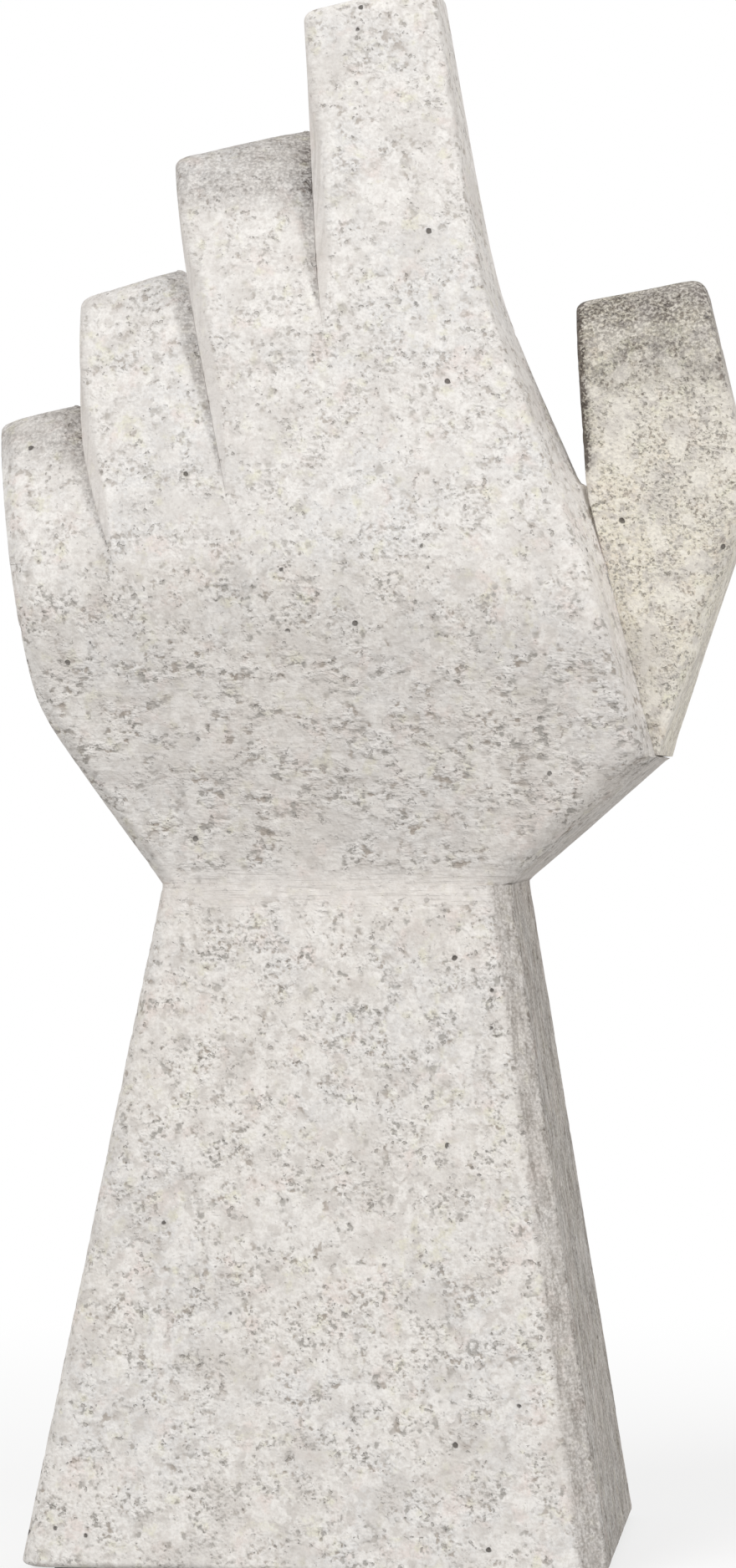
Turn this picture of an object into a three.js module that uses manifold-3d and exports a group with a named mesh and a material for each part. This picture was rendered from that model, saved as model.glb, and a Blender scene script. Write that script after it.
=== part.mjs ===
// A stone hand standing on its forearm: seven cut stones on thin joint beds, pinned with steel dowels.
// Sizes are in millimetres. +Z is up, the back of the hand faces -Y, the underside rests on Z = 0.
// In the hand, heights count up from the palm's underside and widths from the wrist's centre line.
// In the fingers, heights count up from the palm's top, which is the finger joint.
import * as THREE from "three";
import { mergeVertices } from "three/addons/utils/BufferGeometryUtils.js";
import Module from "manifold-3d";

const wasm = await Module();
wasm.setup();

// Forearm and base
const padThickness = 2;
const padInset = 8;
const baseWidth = 163;
const baseDepth = 130;
const baseEdgeRadius = 2;
const forearmLength = 187;
const forearmCornerRadius = 7;
const forearmBackRadius = 12;
const forearmBevel = 7.5; // flat bevel along the right front edge
const forearmBevelAtWrist = 5.5;
const bevelEdgeRadius = 1.5;
const wristWidth = 98.7;
const wristDepth = 83;
const wristShift = 3.5; // the wrist's centre stands this far right of the base's centre

// Joints
const bedThickness = 1;
const bedInset = 0.4; // joint filler stays this far inside the stone's face
const dryJoint = 0.4; // open joint between neighbouring fingers
const thumbJoint = 1.4; // whole width of the slanted joint at the thumb
const thumbBedGap = 0.25; // play on each side of the thumb's bed

// Dowels
const wristDowelRadius = 7;
const wristDowelLength = 110;
const wristDowelSpacing = 44;
const fingerDowelRadius = 4;
const thumbDowelRadius = 4;
const thumbDowelInPalm = 24;
const thumbDowelInThumb = 14;
const thumbDowelSpacing = 24;
const thumbDowelDrop = 17; // below the finger joint
const dowelClearance = 0.4;

// Palm
const palmHeight = 89;
const palmLeftFlare = 0.7; // widening on the little finger's side, per millimetre of height
const palmLeftHip = 76.3; // where the upper, steeper left side would meet the palm's underside
const palmLeftLean = 0.15;
const palmLeftSoftness = 4.5;
const palmRightFlare = 1.15;
const palmFrontFlare = 0.98; // the same for the edge between the front and the right side
const palmCornerHeight = 35.5; // the palm's widest point on the thumb's side, just under the thumb
const palmHeelFlare = 0.4;
const wristSoftness = 4; // length of the hollow between forearm and palm, in front
const palmBackSlope = 0.479;
const palmBackSoftness = 6;
const palmRoundness = 9; // radius of the palm's back corners
const outerBevel = 4.5; // rounding along the little finger's outer front edge
const outerBevelAtWrist = 4.1;
const sideEdgeRadius = 3;
const seatBack = 12; // how far behind the wrist's centre the finger joint ends

// Back of the hand
const knuckleDepth = 64; // how far in front of the wrist's centre the fingers start
const knuckleDrop = 3; // the knuckle ridge lies this far below the finger joint
const knuckleSoftness = 4;
const crownRadius = 560; // the back of the hand is rounded across by this radius
const crownCentre = -15.3;
const fingerLean = 0.158; // the fingers lean back by this much per millimetre of height
const stripAtCorner = 1.5; // width of the side strip between hand and thumb
const stripAtSeat = 3.1;
const stripAtNotch = 7.5;
const stripAtTip = 0.6;
const creaseAtWrist = 25; // the side's front edge lies this far in front of the wrist's centre
const creaseAtTip = 10; // the same at the index finger's tip
const creaseRadius = 0.8; // the side meets the thumb's front nearly square

// Thumb
const thumbLedge = 1.5; // the palm's corner stands out under the thumb by this much
const thumbLedgeRise = 0.5;
const thumbFootGap = 0.5;
const thumbSlope = 0.257; // the joint leans towards the fingers by this much per millimetre
const thumbNotch = 23; // height above the finger joint where index finger and thumb part
const thumbFootWidth = 1.2;
const thumbWidth = 47; // from the joint's plane to the outermost point, before rounding
const thumbKnuckleHeight = 108.4;
const thumbKnuckleSoftness = 3;
const thumbTaper = 0.235;
const thumbInnerTaper = 0.065;
const thumbFront = 40;
const thumbBackSetback = 1.5; // the thumb's ball lies this far inside the palm's back
const thumbBackSoftness = 6;
const thumbTipDepth = 44;
const thumbTipLeft = 163.5;
const thumbTipRight = 169;
const thumbBendHeight = 142;
const thumbBevel = 2.5;
const thumbRoundness = 9;
const thumbBedEdge = 1.5; // the thumb's bed stays this far from the edges of the joint
const thumbBedCorner = 3;

// Fingers
const tipRadius = 3.5;
const tipBendRadius = 27; // the fingertips curve back with this radius
const fingerRoundness = 6; // radius of the fingers' back corners at the tips
const grooveEdgeRadius = 4;
const seatEdgeRadius = 0.6; // neighbouring fingers meet nearly square at the joint
const wallShare = 1.5; // width of a groove's right wall, for the groove's depth
const wallWidest = 5.5;
const wallAboveTip = 2.4; // the wall narrows to this bevel above its neighbour's tip
const flankShare = 0.3; // depth of a groove's left flank, for the groove's depth
const flankSlope = 0.35;
const indexFlare = 0.46;
const indexWaist = 75; // height above the joint where the index finger's side turns steep
const indexTaper = 0.185;
const indexSideSoftness = 4;
const indexSideLean = 0.2; // the free side draws in towards its back by this much per millimetre of depth
const indexSideRun = 6; // height over the notch that this takes to start

// Tip heights above the finger joint, where each tip starts to bend, and the dowels
const indexTip = { left: 155.5, right: 163.5, bend: 152, depth: 42, dowelLength: 90 };
const middleTip = { left: 116, right: 124.5, bend: 97.5, depth: 40, dowelLength: 80 };
const ringTip = { left: 76, right: 84, bend: 67, depth: 42, dowelLength: 70 };
const littleTip = { left: 41.5, right: 46, bend: 26, depth: 42, dowelLength: 56 };

// Lines between neighbouring fingers. The finger on the right stands prouder above the groove's start,
// and its wall runs as high as the tip of the finger on the left.
const indexSeam = {
  seat: 12.2, splay: 0.219, knee: 73, above: 0.082, grooveStart: 64, grooveLean: 0.145, end: middleTip.right,
};
const middleSeam = {
  seat: -23.3, splay: 0.229, knee: 85, above: 0.17, grooveStart: 18, grooveLean: 0.105, end: ringTip.right,
};
const ringSeam = {
  seat: -59.3, splay: 0.37, knee: 33, above: 0.045, grooveStart: 0, grooveLean: 0.15, end: littleTip.right,
};
const seamSoftness = 12;

// Fineness of the faceted surface
const arcSteps = 4;
const filletShare = 0.45; // a rounding takes up at most this share of an edge
const leastRounding = 0.05; // and at least this length, so that a nearly straight corner leaves no thin faces
const palmLowerLevels = 8;
const palmUpperLevels = 14;
const palmFrontSteps = 10;
const fingerLevels = 14;
const thumbLevels = 14;
const thumbBedLevels = 8;
const tipSteps = 3;
const dowelSides = 20;

// Values that follow from the sizes above
const wristHalfWidth = wristWidth / 2;
const wristHalfDepth = wristDepth / 2;
const forearmTop = padThickness + forearmLength;
const palmBottom = forearmTop + bedThickness;
const palmCorner = wristHalfWidth + palmRightFlare * palmCornerHeight;
const ridgeHeight = palmHeight - knuckleDrop;
const palmOutlean = (knuckleDepth + knuckleDrop * fingerLean - wristHalfDepth) / aboveHollow(ridgeHeight);
const ledgeHeight = palmCornerHeight + thumbLedgeRise;
const thumbBottom = ledgeHeight + thumbFootGap;
const thumbTilt = Math.atan(thumbSlope);
const thumbJointHalf = thumbJoint / 2 / Math.cos(thumbTilt);
const thumbKnuckle = thumbPlane(thumbKnuckleHeight) + thumbWidth;
const thumbFoot = thumbPlane(thumbBottom) + thumbJointHalf + thumbFootWidth;
const thumbFlare = (thumbKnuckle - thumbFoot) / (thumbKnuckleHeight - thumbBottom);
const notchHeight = palmHeight + thumbNotch;

const { lerp, clamp, smoothstep } = THREE.MathUtils;

// The larger of two values, rounded off where they are close
function softMax(a, b, softness) {
  return (a + b + Math.hypot(a - b, softness)) / 2;
}

function softMin(a, b, softness) {
  return -softMax(-a, -b, softness);
}

// Points around a polygon with rounded corners, counter-clockwise.
// A corner may carry a run: further points on the edge that leaves it.
function roundedLoop(corners) {
  const points = [];
  corners.forEach((corner, i) => {
    const here = new THREE.Vector2(corner.x, corner.y);
    const before = corners.at(i - 1);
    const after = corners[(i + 1) % corners.length];
    const back = new THREE.Vector2(before.x, before.y).sub(here);
    const ahead = new THREE.Vector2(after.x, after.y).sub(here);
    const reach = filletShare * Math.min(back.length(), ahead.length());
    const turn = Math.PI - back.angleTo(ahead);
    const tangent = Math.min(Math.max(corner.radius * Math.tan(turn / 2), leastRounding), reach);
    const start = back.normalize().multiplyScalar(tangent).add(here);
    const end = ahead.normalize().multiplyScalar(tangent).add(here);
    const arc = new THREE.QuadraticBezierCurve(start, here, end);
    points.push(...arc.getPoints(arcSteps));
    if (corner.run) {
      points.push(...corner.run(end));
    }
  });
  return points;
}

// Closed skin over a stack of loops that all have the same number of points
function loft(loops) {
  const count = loops[0].length;
  const positions = loops.flat().flatMap((p) => [p.x, p.y, p.z]);
  const triangles = [];
  for (let level = 0; level + 1 < loops.length; level += 1) {
    for (let i = 0; i < count; i += 1) {
      const next = (i + 1) % count;
      const low = level * count;
      const high = low + count;
      triangles.push(low + i, low + next, high + next);
      triangles.push(low + i, high + next, high + i);
    }
  }
  const topStart = (loops.length - 1) * count;
  for (const [a, b, c] of THREE.ShapeUtils.triangulateShape(loops[0], [])) {
    triangles.push(c, b, a);
  }
  for (const [a, b, c] of THREE.ShapeUtils.triangulateShape(loops.at(-1), [])) {
    triangles.push(topStart + a, topStart + b, topStart + c);
  }
  const geometry = new THREE.BufferGeometry();
  geometry.setAttribute("position", new THREE.Float32BufferAttribute(positions, 3));
  geometry.setIndex(triangles);
  return geometry;
}

function atHeight(loop, z) {
  return loop.map((p) => new THREE.Vector3(p.x, p.y, z));
}

// A loop whose height changes evenly from its left side to its right side
function slanted(loop, left, right, leftHeight, rightHeight) {
  return loop.map((p) => {
    const share = (p.x - left) / (right - left);
    return new THREE.Vector3(p.x, p.y, lerp(leftHeight, rightHeight, share));
  });
}

function toSolid(geometry) {
  const bare = geometry.clone();
  bare.deleteAttribute("normal");
  bare.deleteAttribute("uv");
  const merged = mergeVertices(bare);
  return new wasm.Manifold(
    new wasm.Mesh({
      numProp: 3,
      vertProperties: new Float32Array(merged.attributes.position.array),
      triVerts: new Uint32Array(merged.index.array),
    }),
  );
}

// Cuts the dowel holes out of a stone
function drilled(geometry, holes) {
  let solid = toSolid(geometry);
  for (const hole of holes) {
    solid = solid.subtract(toSolid(hole));
  }
  const mesh = solid.getMesh();
  const result = new THREE.BufferGeometry();
  result.setAttribute("position", new THREE.Float32BufferAttribute(mesh.vertProperties, 3));
  result.setIndex(Array.from(mesh.triVerts));
  return result;
}

// A dowel, or with a clearance the hole for it, along the Z axis of the given place
function dowelGeometry(radius, low, high, place, clearance = 0) {
  const length = high - low + 2 * clearance;
  const geometry = new THREE.CylinderGeometry(radius + clearance, radius + clearance, length, dowelSides);
  geometry.rotateX(Math.PI / 2);
  geometry.translate(0, 0, (low + high) / 2);
  return geometry.applyMatrix4(place);
}

// A flat sheet of joint filler with round holes for the dowels
function sheetGeometry(loop, thickness, holes) {
  const shape = new THREE.Shape(loop);
  for (const hole of holes) {
    const ring = new THREE.Path().absarc(hole.x, hole.y, hole.radius, 0, 2 * Math.PI, true);
    shape.holes.push(new THREE.Path(ring.getPoints(dowelSides).slice(0, -1)));
  }
  return new THREE.ExtrudeGeometry(shape, { depth: thickness, bevelEnabled: false });
}

function stoneMaterial(color) {
  return new THREE.MeshStandardMaterial({ color, roughness: 0.85, metalness: 0 });
}

function fillerMaterial() {
  return new THREE.MeshStandardMaterial({ color: 0xd6d0c6, roughness: 0.9, metalness: 0 });
}

function steelMaterial() {
  return new THREE.MeshStandardMaterial({ color: 0xb4b7ba, roughness: 0.35, metalness: 1 });
}

function namedMesh(name, geometry, material) {
  const mesh = new THREE.Mesh(geometry, material);
  mesh.name = name;
  return mesh;
}

// Height that counts slowly in the hollow over the wrist and evenly above it
function aboveHollow(height) {
  return height ** 2 / (height + wristSoftness);
}

// The plane of the thumb's joint, as a width for each height in the hand
function thumbPlane(height) {
  return palmCorner - thumbLedge - thumbSlope * (height - palmCornerHeight);
}

// The back of the hand above the knuckles, with height counted from the finger joint
function upperFront(x, height) {
  const crown = (x - crownCentre) ** 2 / (2 * crownRadius);
  return -knuckleDepth + height * fingerLean + crown;
}

function palmFront(x, height) {
  const lower = -(wristHalfDepth + palmOutlean * aboveHollow(height));
  return softMax(lower, upperFront(x, height - palmHeight), knuckleSoftness);
}

function palmLeft(height) {
  const lower = -(wristHalfWidth + palmLeftFlare * height);
  const upper = -(palmLeftHip + palmLeftLean * height);
  return softMax(lower, upper, palmLeftSoftness);
}

// The palm's thumb side widens up to the corner, steps in at the ledge and follows the joint above it
function palmRight(height) {
  const lower = wristHalfWidth + palmRightFlare * height;
  return height > palmCornerHeight ? thumbPlane(height) - thumbJointHalf : lower;
}

function palmFrontEdge(height) {
  const share = (height - palmCornerHeight) / (palmHeight - palmCornerHeight);
  const strip = lerp(stripAtCorner, stripAtSeat, share);
  return Math.min(wristHalfWidth + palmFrontFlare * height, thumbPlane(height) - thumbJointHalf - strip);
}

function palmBack(height) {
  const heel = wristHalfDepth + palmHeelFlare * height;
  const upper = seatBack + (palmHeight - height) * palmBackSlope;
  return softMin(heel, upper, palmBackSoftness);
}

function palmLoop(height) {
  const share = height / palmHeight;
  const left = palmLeft(height);
  const right = palmRight(height);
  const edge = palmFrontEdge(height);
  const back = palmBack(height);
  const front = (x) => palmFront(x, height);
  const upFlare = Math.min(1, height / palmCornerHeight);
  const crease = -lerp(creaseAtWrist, thumbFront, upFlare);
  const bevel = lerp(outerBevelAtWrist, outerBevel, share);
  const frontLeft = { x: left + bevel, y: front(left + bevel), radius: bevel };
  const frontRight = { x: edge, y: front(edge), radius: lerp(forearmCornerRadius, sideEdgeRadius, share) };
  frontLeft.run = (start) => {
    const points = [];
    for (let i = 1; i < palmFrontSteps; i += 1) {
      const x = lerp(start.x, frontRight.x - frontRight.radius, i / palmFrontSteps);
      points.push(new THREE.Vector2(x, front(x)));
    }
    return points;
  };
  const roundness = lerp(forearmBackRadius, palmRoundness, share);
  return roundedLoop([
    { x: left, y: front(left) + bevel, radius: bevel },
    frontLeft,
    frontRight,
    { x: right, y: crease, radius: lerp(forearmCornerRadius, creaseRadius, upFlare) },
    { x: right, y: back, radius: roundness },
    { x: left, y: back, radius: roundness },
  ]);
}

// A seam's width at a height above the finger joint
function seamAt(seam, height) {
  const pastKnee = softMax(0, height - seam.knee, seamSoftness);
  return seam.seat - seam.splay * height + (seam.splay - seam.above) * pastKnee;
}

// How far the finger right of a seam stands in front of the finger left of it
function grooveDepth(seam, height) {
  return seam.grooveLean * Math.max(0, height - seam.grooveStart);
}

// Width of the wall that the finger right of a seam turns to the groove
function wallWidth(seam, height) {
  const wall = clamp(grooveDepth(seam, height) * wallShare, seatEdgeRadius, wallWidest);
  const pastTip = smoothstep(height, seam.end - tipRadius, seam.end + tipRadius);
  return lerp(wall, Math.min(wall, wallAboveTip), pastTip);
}

// The index finger's thumb side: on the thumb's joint up to the notch, then a flare into the shaft
function indexSide(height) {
  const joint = thumbPlane(palmHeight + height) - thumbJointHalf;
  const notch = thumbPlane(notchHeight) - thumbJointHalf;
  const flare = notch - indexFlare * (height - thumbNotch);
  const shaft = notch - indexFlare * (indexWaist - thumbNotch) - indexTaper * (height - indexWaist);
  return Math.min(joint, softMax(flare, shaft, indexSideSoftness));
}

// Width of the strip between the index finger's front and its thumb side
function indexStrip(height) {
  if (height < thumbNotch) {
    return lerp(stripAtSeat, stripAtNotch, height / thumbNotch);
  }
  const share = (height - thumbNotch) / (indexTip.right - thumbNotch);
  return lerp(stripAtNotch, stripAtTip, Math.sqrt(share));
}

const fingers = [
  { name: "index", tip: indexTip, rightSeam: null, leftSeam: indexSeam, proud: [] },
  { name: "middle", tip: middleTip, rightSeam: indexSeam, leftSeam: middleSeam, proud: [indexSeam] },
  { name: "ring", tip: ringTip, rightSeam: middleSeam, leftSeam: ringSeam, proud: [indexSeam, middleSeam] },
  { name: "little", tip: littleTip, rightSeam: ringSeam, leftSeam: null,
    proud: [indexSeam, middleSeam, ringSeam] },
];

function fingerLeft(finger, height) {
  return finger.leftSeam ? seamAt(finger.leftSeam, height) + dryJoint / 2 : palmLeft(palmHeight + height);
}

function fingerRight(finger, height) {
  return finger.rightSeam ? seamAt(finger.rightSeam, height) - dryJoint / 2 : indexSide(height);
}

// A finger's front lies back by the depth of every groove on its right, and curves back at the tip
function fingerFront(finger, x, height) {
  const grooves = finger.proud.reduce((sum, seam) => sum + grooveDepth(seam, height), 0);
  const bend = Math.max(0, height - finger.tip.bend) ** 2 / (2 * tipBendRadius);
  return palmFront(x, palmHeight + height) + grooves + bend;
}

function fingerBack(finger, height) {
  const { left, right, depth } = finger.tip;
  const tipHeight = (left + right) / 2;
  const middle = (fingerLeft(finger, tipHeight) + fingerRight(finger, tipHeight)) / 2;
  const tipBack = fingerFront(finger, middle, tipHeight) + depth;
  return lerp(seatBack, tipBack, height / tipHeight);
}

// One section of a finger, given by the heights of its left and right sides
function fingerLoop(finger, leftHeight, rightHeight, inset = 0) {
  const left = fingerLeft(finger, leftHeight) + inset;
  const right = fingerRight(finger, rightHeight) - inset;
  const share = leftHeight / finger.tip.left;
  const backRadius = lerp(seatEdgeRadius, fingerRoundness, share);
  const groove = finger.leftSeam ? grooveDepth(finger.leftSeam, leftHeight) : 0;
  const bevelDepth = finger.leftSeam ? Math.max(seatEdgeRadius, groove * (1 + flankShare)) : outerBevel;
  const bevelWidth = finger.leftSeam ? wallWidth(finger.leftSeam, leftHeight) : outerBevel;
  const bevelRadius = finger.leftSeam ? seatEdgeRadius : outerBevel;
  const shoulder = left + bevelWidth;
  const frontLeft = fingerFront(finger, shoulder, leftHeight) + inset;
  const back = fingerBack(finger, (leftHeight + rightHeight) / 2) - inset;
  const corners = [
    { x: left, y: frontLeft + bevelDepth, radius: bevelRadius },
    { x: shoulder, y: frontLeft, radius: bevelRadius },
  ];
  if (finger.rightSeam) {
    const flank = Math.max(seatEdgeRadius, flankShare * grooveDepth(finger.rightSeam, rightHeight));
    const edge = right - flank / flankSlope;
    const bottom = fingerFront(finger, right, rightHeight) + flank;
    corners.push({ x: edge, y: fingerFront(finger, edge, rightHeight) + inset, radius: grooveEdgeRadius });
    corners.push({ x: right, y: bottom + inset, radius: seatEdgeRadius });
    corners.push({ x: right, y: back, radius: backRadius });
  } else {
    const edge = right - indexStrip(rightHeight);
    corners.push({ x: edge, y: fingerFront(finger, edge, rightHeight) + inset, radius: sideEdgeRadius });
    const crease = -lerp(thumbFront, creaseAtTip, share);
    const free = clamp((rightHeight - thumbNotch) / indexSideRun, 0, 1);
    const backRight = right - free * indexSideLean * (back - crease);
    corners.push({ x: right, y: crease, radius: lerp(creaseRadius, sideEdgeRadius, free) });
    corners.push({ x: backRight, y: back, radius: lerp(palmRoundness, fingerRoundness, share) });
  }
  corners.push({ x: left, y: back, radius: finger.leftSeam ? backRadius : palmRoundness });
  return { loop: roundedLoop(corners), left, right };
}

// Adds the rounded top edge of a tip: sections that draw in and rise along a quarter circle
function tipSections(section) {
  const loops = [];
  for (let i = 1; i <= tipSteps; i += 1) {
    const angle = (Math.PI / 2) * (i / tipSteps);
    const inset = tipRadius * (1 - Math.cos(angle));
    const drop = tipRadius * (1 - Math.sin(angle));
    loops.push(section(inset, drop));
  }
  return loops;
}

function fingerGeometry(finger) {
  const { left, right } = finger.tip;
  const section = (leftHeight, rightHeight, inset) => {
    const part = fingerLoop(finger, leftHeight, rightHeight, inset);
    return slanted(part.loop, part.left, part.right, leftHeight, rightHeight);
  };
  const loops = [];
  for (let i = 0; i <= fingerLevels; i += 1) {
    const share = i / fingerLevels;
    const leftHeight = lerp(bedThickness, left - tipRadius, share);
    const rightHeight = lerp(bedThickness, right - tipRadius, share);
    loops.push(section(leftHeight, rightHeight, 0));
  }
  loops.push(...tipSections((inset, drop) => section(left - drop, right - drop, inset)));
  return loft(loops);
}

function thumbLeft(height) {
  const joint = thumbPlane(height) + thumbJointHalf;
  const inner = thumbPlane(notchHeight) + thumbJointHalf - thumbInnerTaper * (height - notchHeight);
  return height > notchHeight ? inner : joint;
}

function thumbRight(height) {
  const lower = thumbKnuckle + thumbFlare * (height - thumbKnuckleHeight);
  const upper = thumbKnuckle - thumbTaper * (height - thumbKnuckleHeight);
  return softMin(lower, upper, thumbKnuckleSoftness);
}

// The thumb's ball follows the palm's back, the free part stands upright
function thumbBack(height) {
  return softMax(palmBack(height), seatBack, thumbBackSoftness) - thumbBackSetback;
}

function thumbSection(leftHeight, rightHeight, inset) {
  const left = thumbLeft(leftHeight) + inset;
  const right = thumbRight(rightHeight) - inset;
  const height = (leftHeight + rightHeight) / 2;
  const bend = Math.max(0, height - thumbBendHeight) ** 2 / (2 * tipBendRadius);
  const share = clamp((height - palmHeight) / (thumbTipLeft - palmHeight), 0, 1);
  const front = bend - thumbFront + inset;
  const back = lerp(thumbBack(height), thumbTipDepth - thumbFront, share) - inset;
  const loop = roundedLoop([
    { x: left, y: front, radius: thumbBevel },
    { x: right, y: front, radius: sideEdgeRadius },
    { x: right, y: back, radius: thumbRoundness },
    { x: left, y: back, radius: thumbBevel },
  ]);
  return slanted(loop, left, right, leftHeight, rightHeight);
}

function thumbGeometry() {
  const loops = [];
  for (let i = 0; i <= thumbLevels; i += 1) {
    const share = i / thumbLevels;
    const leftHeight = lerp(thumbBottom, thumbTipLeft - tipRadius, share);
    const rightHeight = lerp(thumbBottom, thumbTipRight - tipRadius, share);
    loops.push(thumbSection(leftHeight, rightHeight, 0));
  }
  loops.push(...tipSections((inset, drop) => thumbSection(thumbTipLeft - drop, thumbTipRight - drop, inset)));
  return loft(loops);
}

function forearmLoop(share, inset = 0) {
  const halfWidth = lerp(baseWidth, wristWidth, share) / 2 - inset;
  const halfDepth = lerp(baseDepth, wristDepth, share) / 2 - inset;
  const bevel = lerp(forearmBevel, forearmBevelAtWrist, share);
  const left = wristShift * share - halfWidth;
  const right = wristShift * share + halfWidth;
  return roundedLoop([
    { x: left, y: -halfDepth, radius: forearmCornerRadius },
    { x: right - bevel, y: -halfDepth, radius: bevelEdgeRadius },
    { x: right, y: bevel - halfDepth, radius: bevelEdgeRadius },
    { x: right, y: halfDepth, radius: forearmBackRadius },
    { x: left, y: halfDepth, radius: forearmBackRadius },
  ]);
}

function forearmGeometry() {
  const loops = [];
  for (let i = 0; i <= tipSteps; i += 1) {
    const angle = (Math.PI / 2) * (i / tipSteps);
    const rise = baseEdgeRadius * (1 - Math.cos(angle));
    const inset = baseEdgeRadius * (1 - Math.sin(angle));
    loops.push(atHeight(forearmLoop(rise / forearmLength, inset), padThickness + rise));
  }
  loops.push(atHeight(forearmLoop(1), forearmTop));
  return loft(loops);
}

function palmGeometry() {
  const heights = [];
  for (let i = 0; i <= palmLowerLevels; i += 1) {
    heights.push(palmCornerHeight * (i / palmLowerLevels));
  }
  for (let i = 0; i <= palmUpperLevels; i += 1) {
    heights.push(lerp(ledgeHeight, palmHeight, i / palmUpperLevels));
  }
  return loft(heights.map((height) => atHeight(palmLoop(height), height)));
}

const hand = new THREE.Group();
hand.position.set(wristShift, 0, palmBottom);
const sculpture = new THREE.Group();
sculpture.add(hand);

// Wrist joint
const palmHoles = [];
const forearmHoles = [];
const wristHoles = [];
for (const [side, sign] of [["left", -1], ["right", 1]]) {
  const x = (sign * wristDowelSpacing) / 2;
  const low = -bedThickness - wristDowelLength / 2;
  const high = wristDowelLength / 2;
  const inHand = new THREE.Matrix4().makeTranslation(x, 0, 0);
  const inForearm = new THREE.Matrix4().makeTranslation(wristShift + x, 0, palmBottom);
  const dowel = dowelGeometry(wristDowelRadius, low, high, inHand);
  hand.add(namedMesh(`wrist_dowel_${side}`, dowel, steelMaterial()));
  palmHoles.push(dowelGeometry(wristDowelRadius, low, high, inHand, dowelClearance));
  forearmHoles.push(dowelGeometry(wristDowelRadius, low, high, inForearm, dowelClearance));
  wristHoles.push({ x, y: 0, radius: wristDowelRadius + dowelClearance });
}
const wristBedLoop = forearmLoop(1, bedInset).map((p) => new THREE.Vector2(p.x - wristShift, p.y));
const wristBed = sheetGeometry(wristBedLoop, bedThickness, wristHoles);
wristBed.translate(0, 0, -bedThickness);
hand.add(namedMesh("wrist_bed", wristBed, fillerMaterial()));

// Fingers on their beds
for (const finger of fingers) {
  const seat = fingerLoop(finger, 0, 0, bedInset);
  const x = (seat.left + seat.right) / 2;
  const y = (seatBack - knuckleDepth) / 2;
  const reach = finger.tip.dowelLength / 2;
  const inFinger = new THREE.Matrix4().makeTranslation(x, y, 0);
  const inPalm = new THREE.Matrix4().makeTranslation(x, y, palmHeight);
  const holeRadius = fingerDowelRadius + dowelClearance;
  const holeInFinger = dowelGeometry(fingerDowelRadius, -reach, reach, inFinger, dowelClearance);
  palmHoles.push(dowelGeometry(fingerDowelRadius, -reach, reach, inPalm, dowelClearance));

  const stone = drilled(fingerGeometry(finger), [holeInFinger]);
  const bed = sheetGeometry(seat.loop, bedThickness, [{ x, y, radius: holeRadius }]);
  const dowel = dowelGeometry(fingerDowelRadius, -reach, reach, inFinger);
  const place = new THREE.Group();
  place.position.z = palmHeight;
  place.add(namedMesh(`${finger.name}_finger`, stone, stoneMaterial(0xe4e0da)));
  place.add(namedMesh(`${finger.name}_bed`, bed, fillerMaterial()));
  place.add(namedMesh(`${finger.name}_dowel`, dowel, steelMaterial()));
  hand.add(place);
}

// Thumb on its slanted bed. The joint's own axes: across the hand's depth, up the slope, out to the thumb.
const acrossJoint = new THREE.Vector3(0, 1, 0);
const upJoint = new THREE.Vector3(-Math.sin(thumbTilt), 0, Math.cos(thumbTilt));
const outOfJoint = new THREE.Vector3(Math.cos(thumbTilt), 0, Math.sin(thumbTilt));
const jointPlace = new THREE.Matrix4().makeBasis(acrossJoint, upJoint, outOfJoint);
jointPlace.setPosition(thumbPlane(thumbBottom), 0, thumbBottom);
const upSlope = (height) => (height - thumbBottom) / Math.cos(thumbTilt);
const thumbHoles = [];
const thumbBedHoles = [];
for (const [side, sign] of [["front", -1], ["back", 1]]) {
  const across = (seatBack - thumbFront) / 2 + (sign * thumbDowelSpacing) / 2;
  const up = upSlope(palmHeight - thumbDowelDrop);
  const place = jointPlace.clone().multiply(new THREE.Matrix4().makeTranslation(across, up, 0));
  const dowel = dowelGeometry(thumbDowelRadius, -thumbDowelInPalm, thumbDowelInThumb, place);
  const hole = dowelGeometry(
    thumbDowelRadius, -thumbDowelInPalm, thumbDowelInThumb, place, dowelClearance,
  );
  hand.add(namedMesh(`thumb_dowel_${side}`, dowel, steelMaterial()));
  palmHoles.push(hole);
  thumbHoles.push(hole);
  thumbBedHoles.push({ x: across, y: up, radius: thumbDowelRadius + dowelClearance });
}
const bedLow = upSlope(thumbBottom) + thumbBedEdge;
const bedHigh = upSlope(notchHeight) - thumbBedEdge;
const bedFront = thumbBedEdge - thumbFront;
const bedBack = (height) => Math.min(thumbBack(height), Math.max(palmBack(height), seatBack)) - thumbBedEdge;
const bedBackEdge = () => {
  const points = [];
  for (let i = 1; i < thumbBedLevels; i += 1) {
    const height = lerp(thumbBottom, notchHeight, i / thumbBedLevels);
    points.push(new THREE.Vector2(bedBack(height), lerp(bedLow, bedHigh, i / thumbBedLevels)));
  }
  return points;
};
const thumbBedLoop = roundedLoop([
  { x: bedFront, y: bedHigh, radius: thumbBedCorner },
  { x: bedFront, y: bedLow, radius: thumbBedCorner },
  { x: bedBack(thumbBottom), y: bedLow, radius: thumbBedCorner, run: bedBackEdge },
  { x: bedBack(notchHeight), y: bedHigh, radius: thumbBedCorner },
]);
const thumbBedThickness = thumbJoint - 2 * thumbBedGap;
const thumbBed = sheetGeometry(thumbBedLoop, thumbBedThickness, thumbBedHoles);
thumbBed.translate(0, 0, -thumbBedThickness / 2);
thumbBed.applyMatrix4(jointPlace);
hand.add(namedMesh("thumb_bed", thumbBed, fillerMaterial()));
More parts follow.
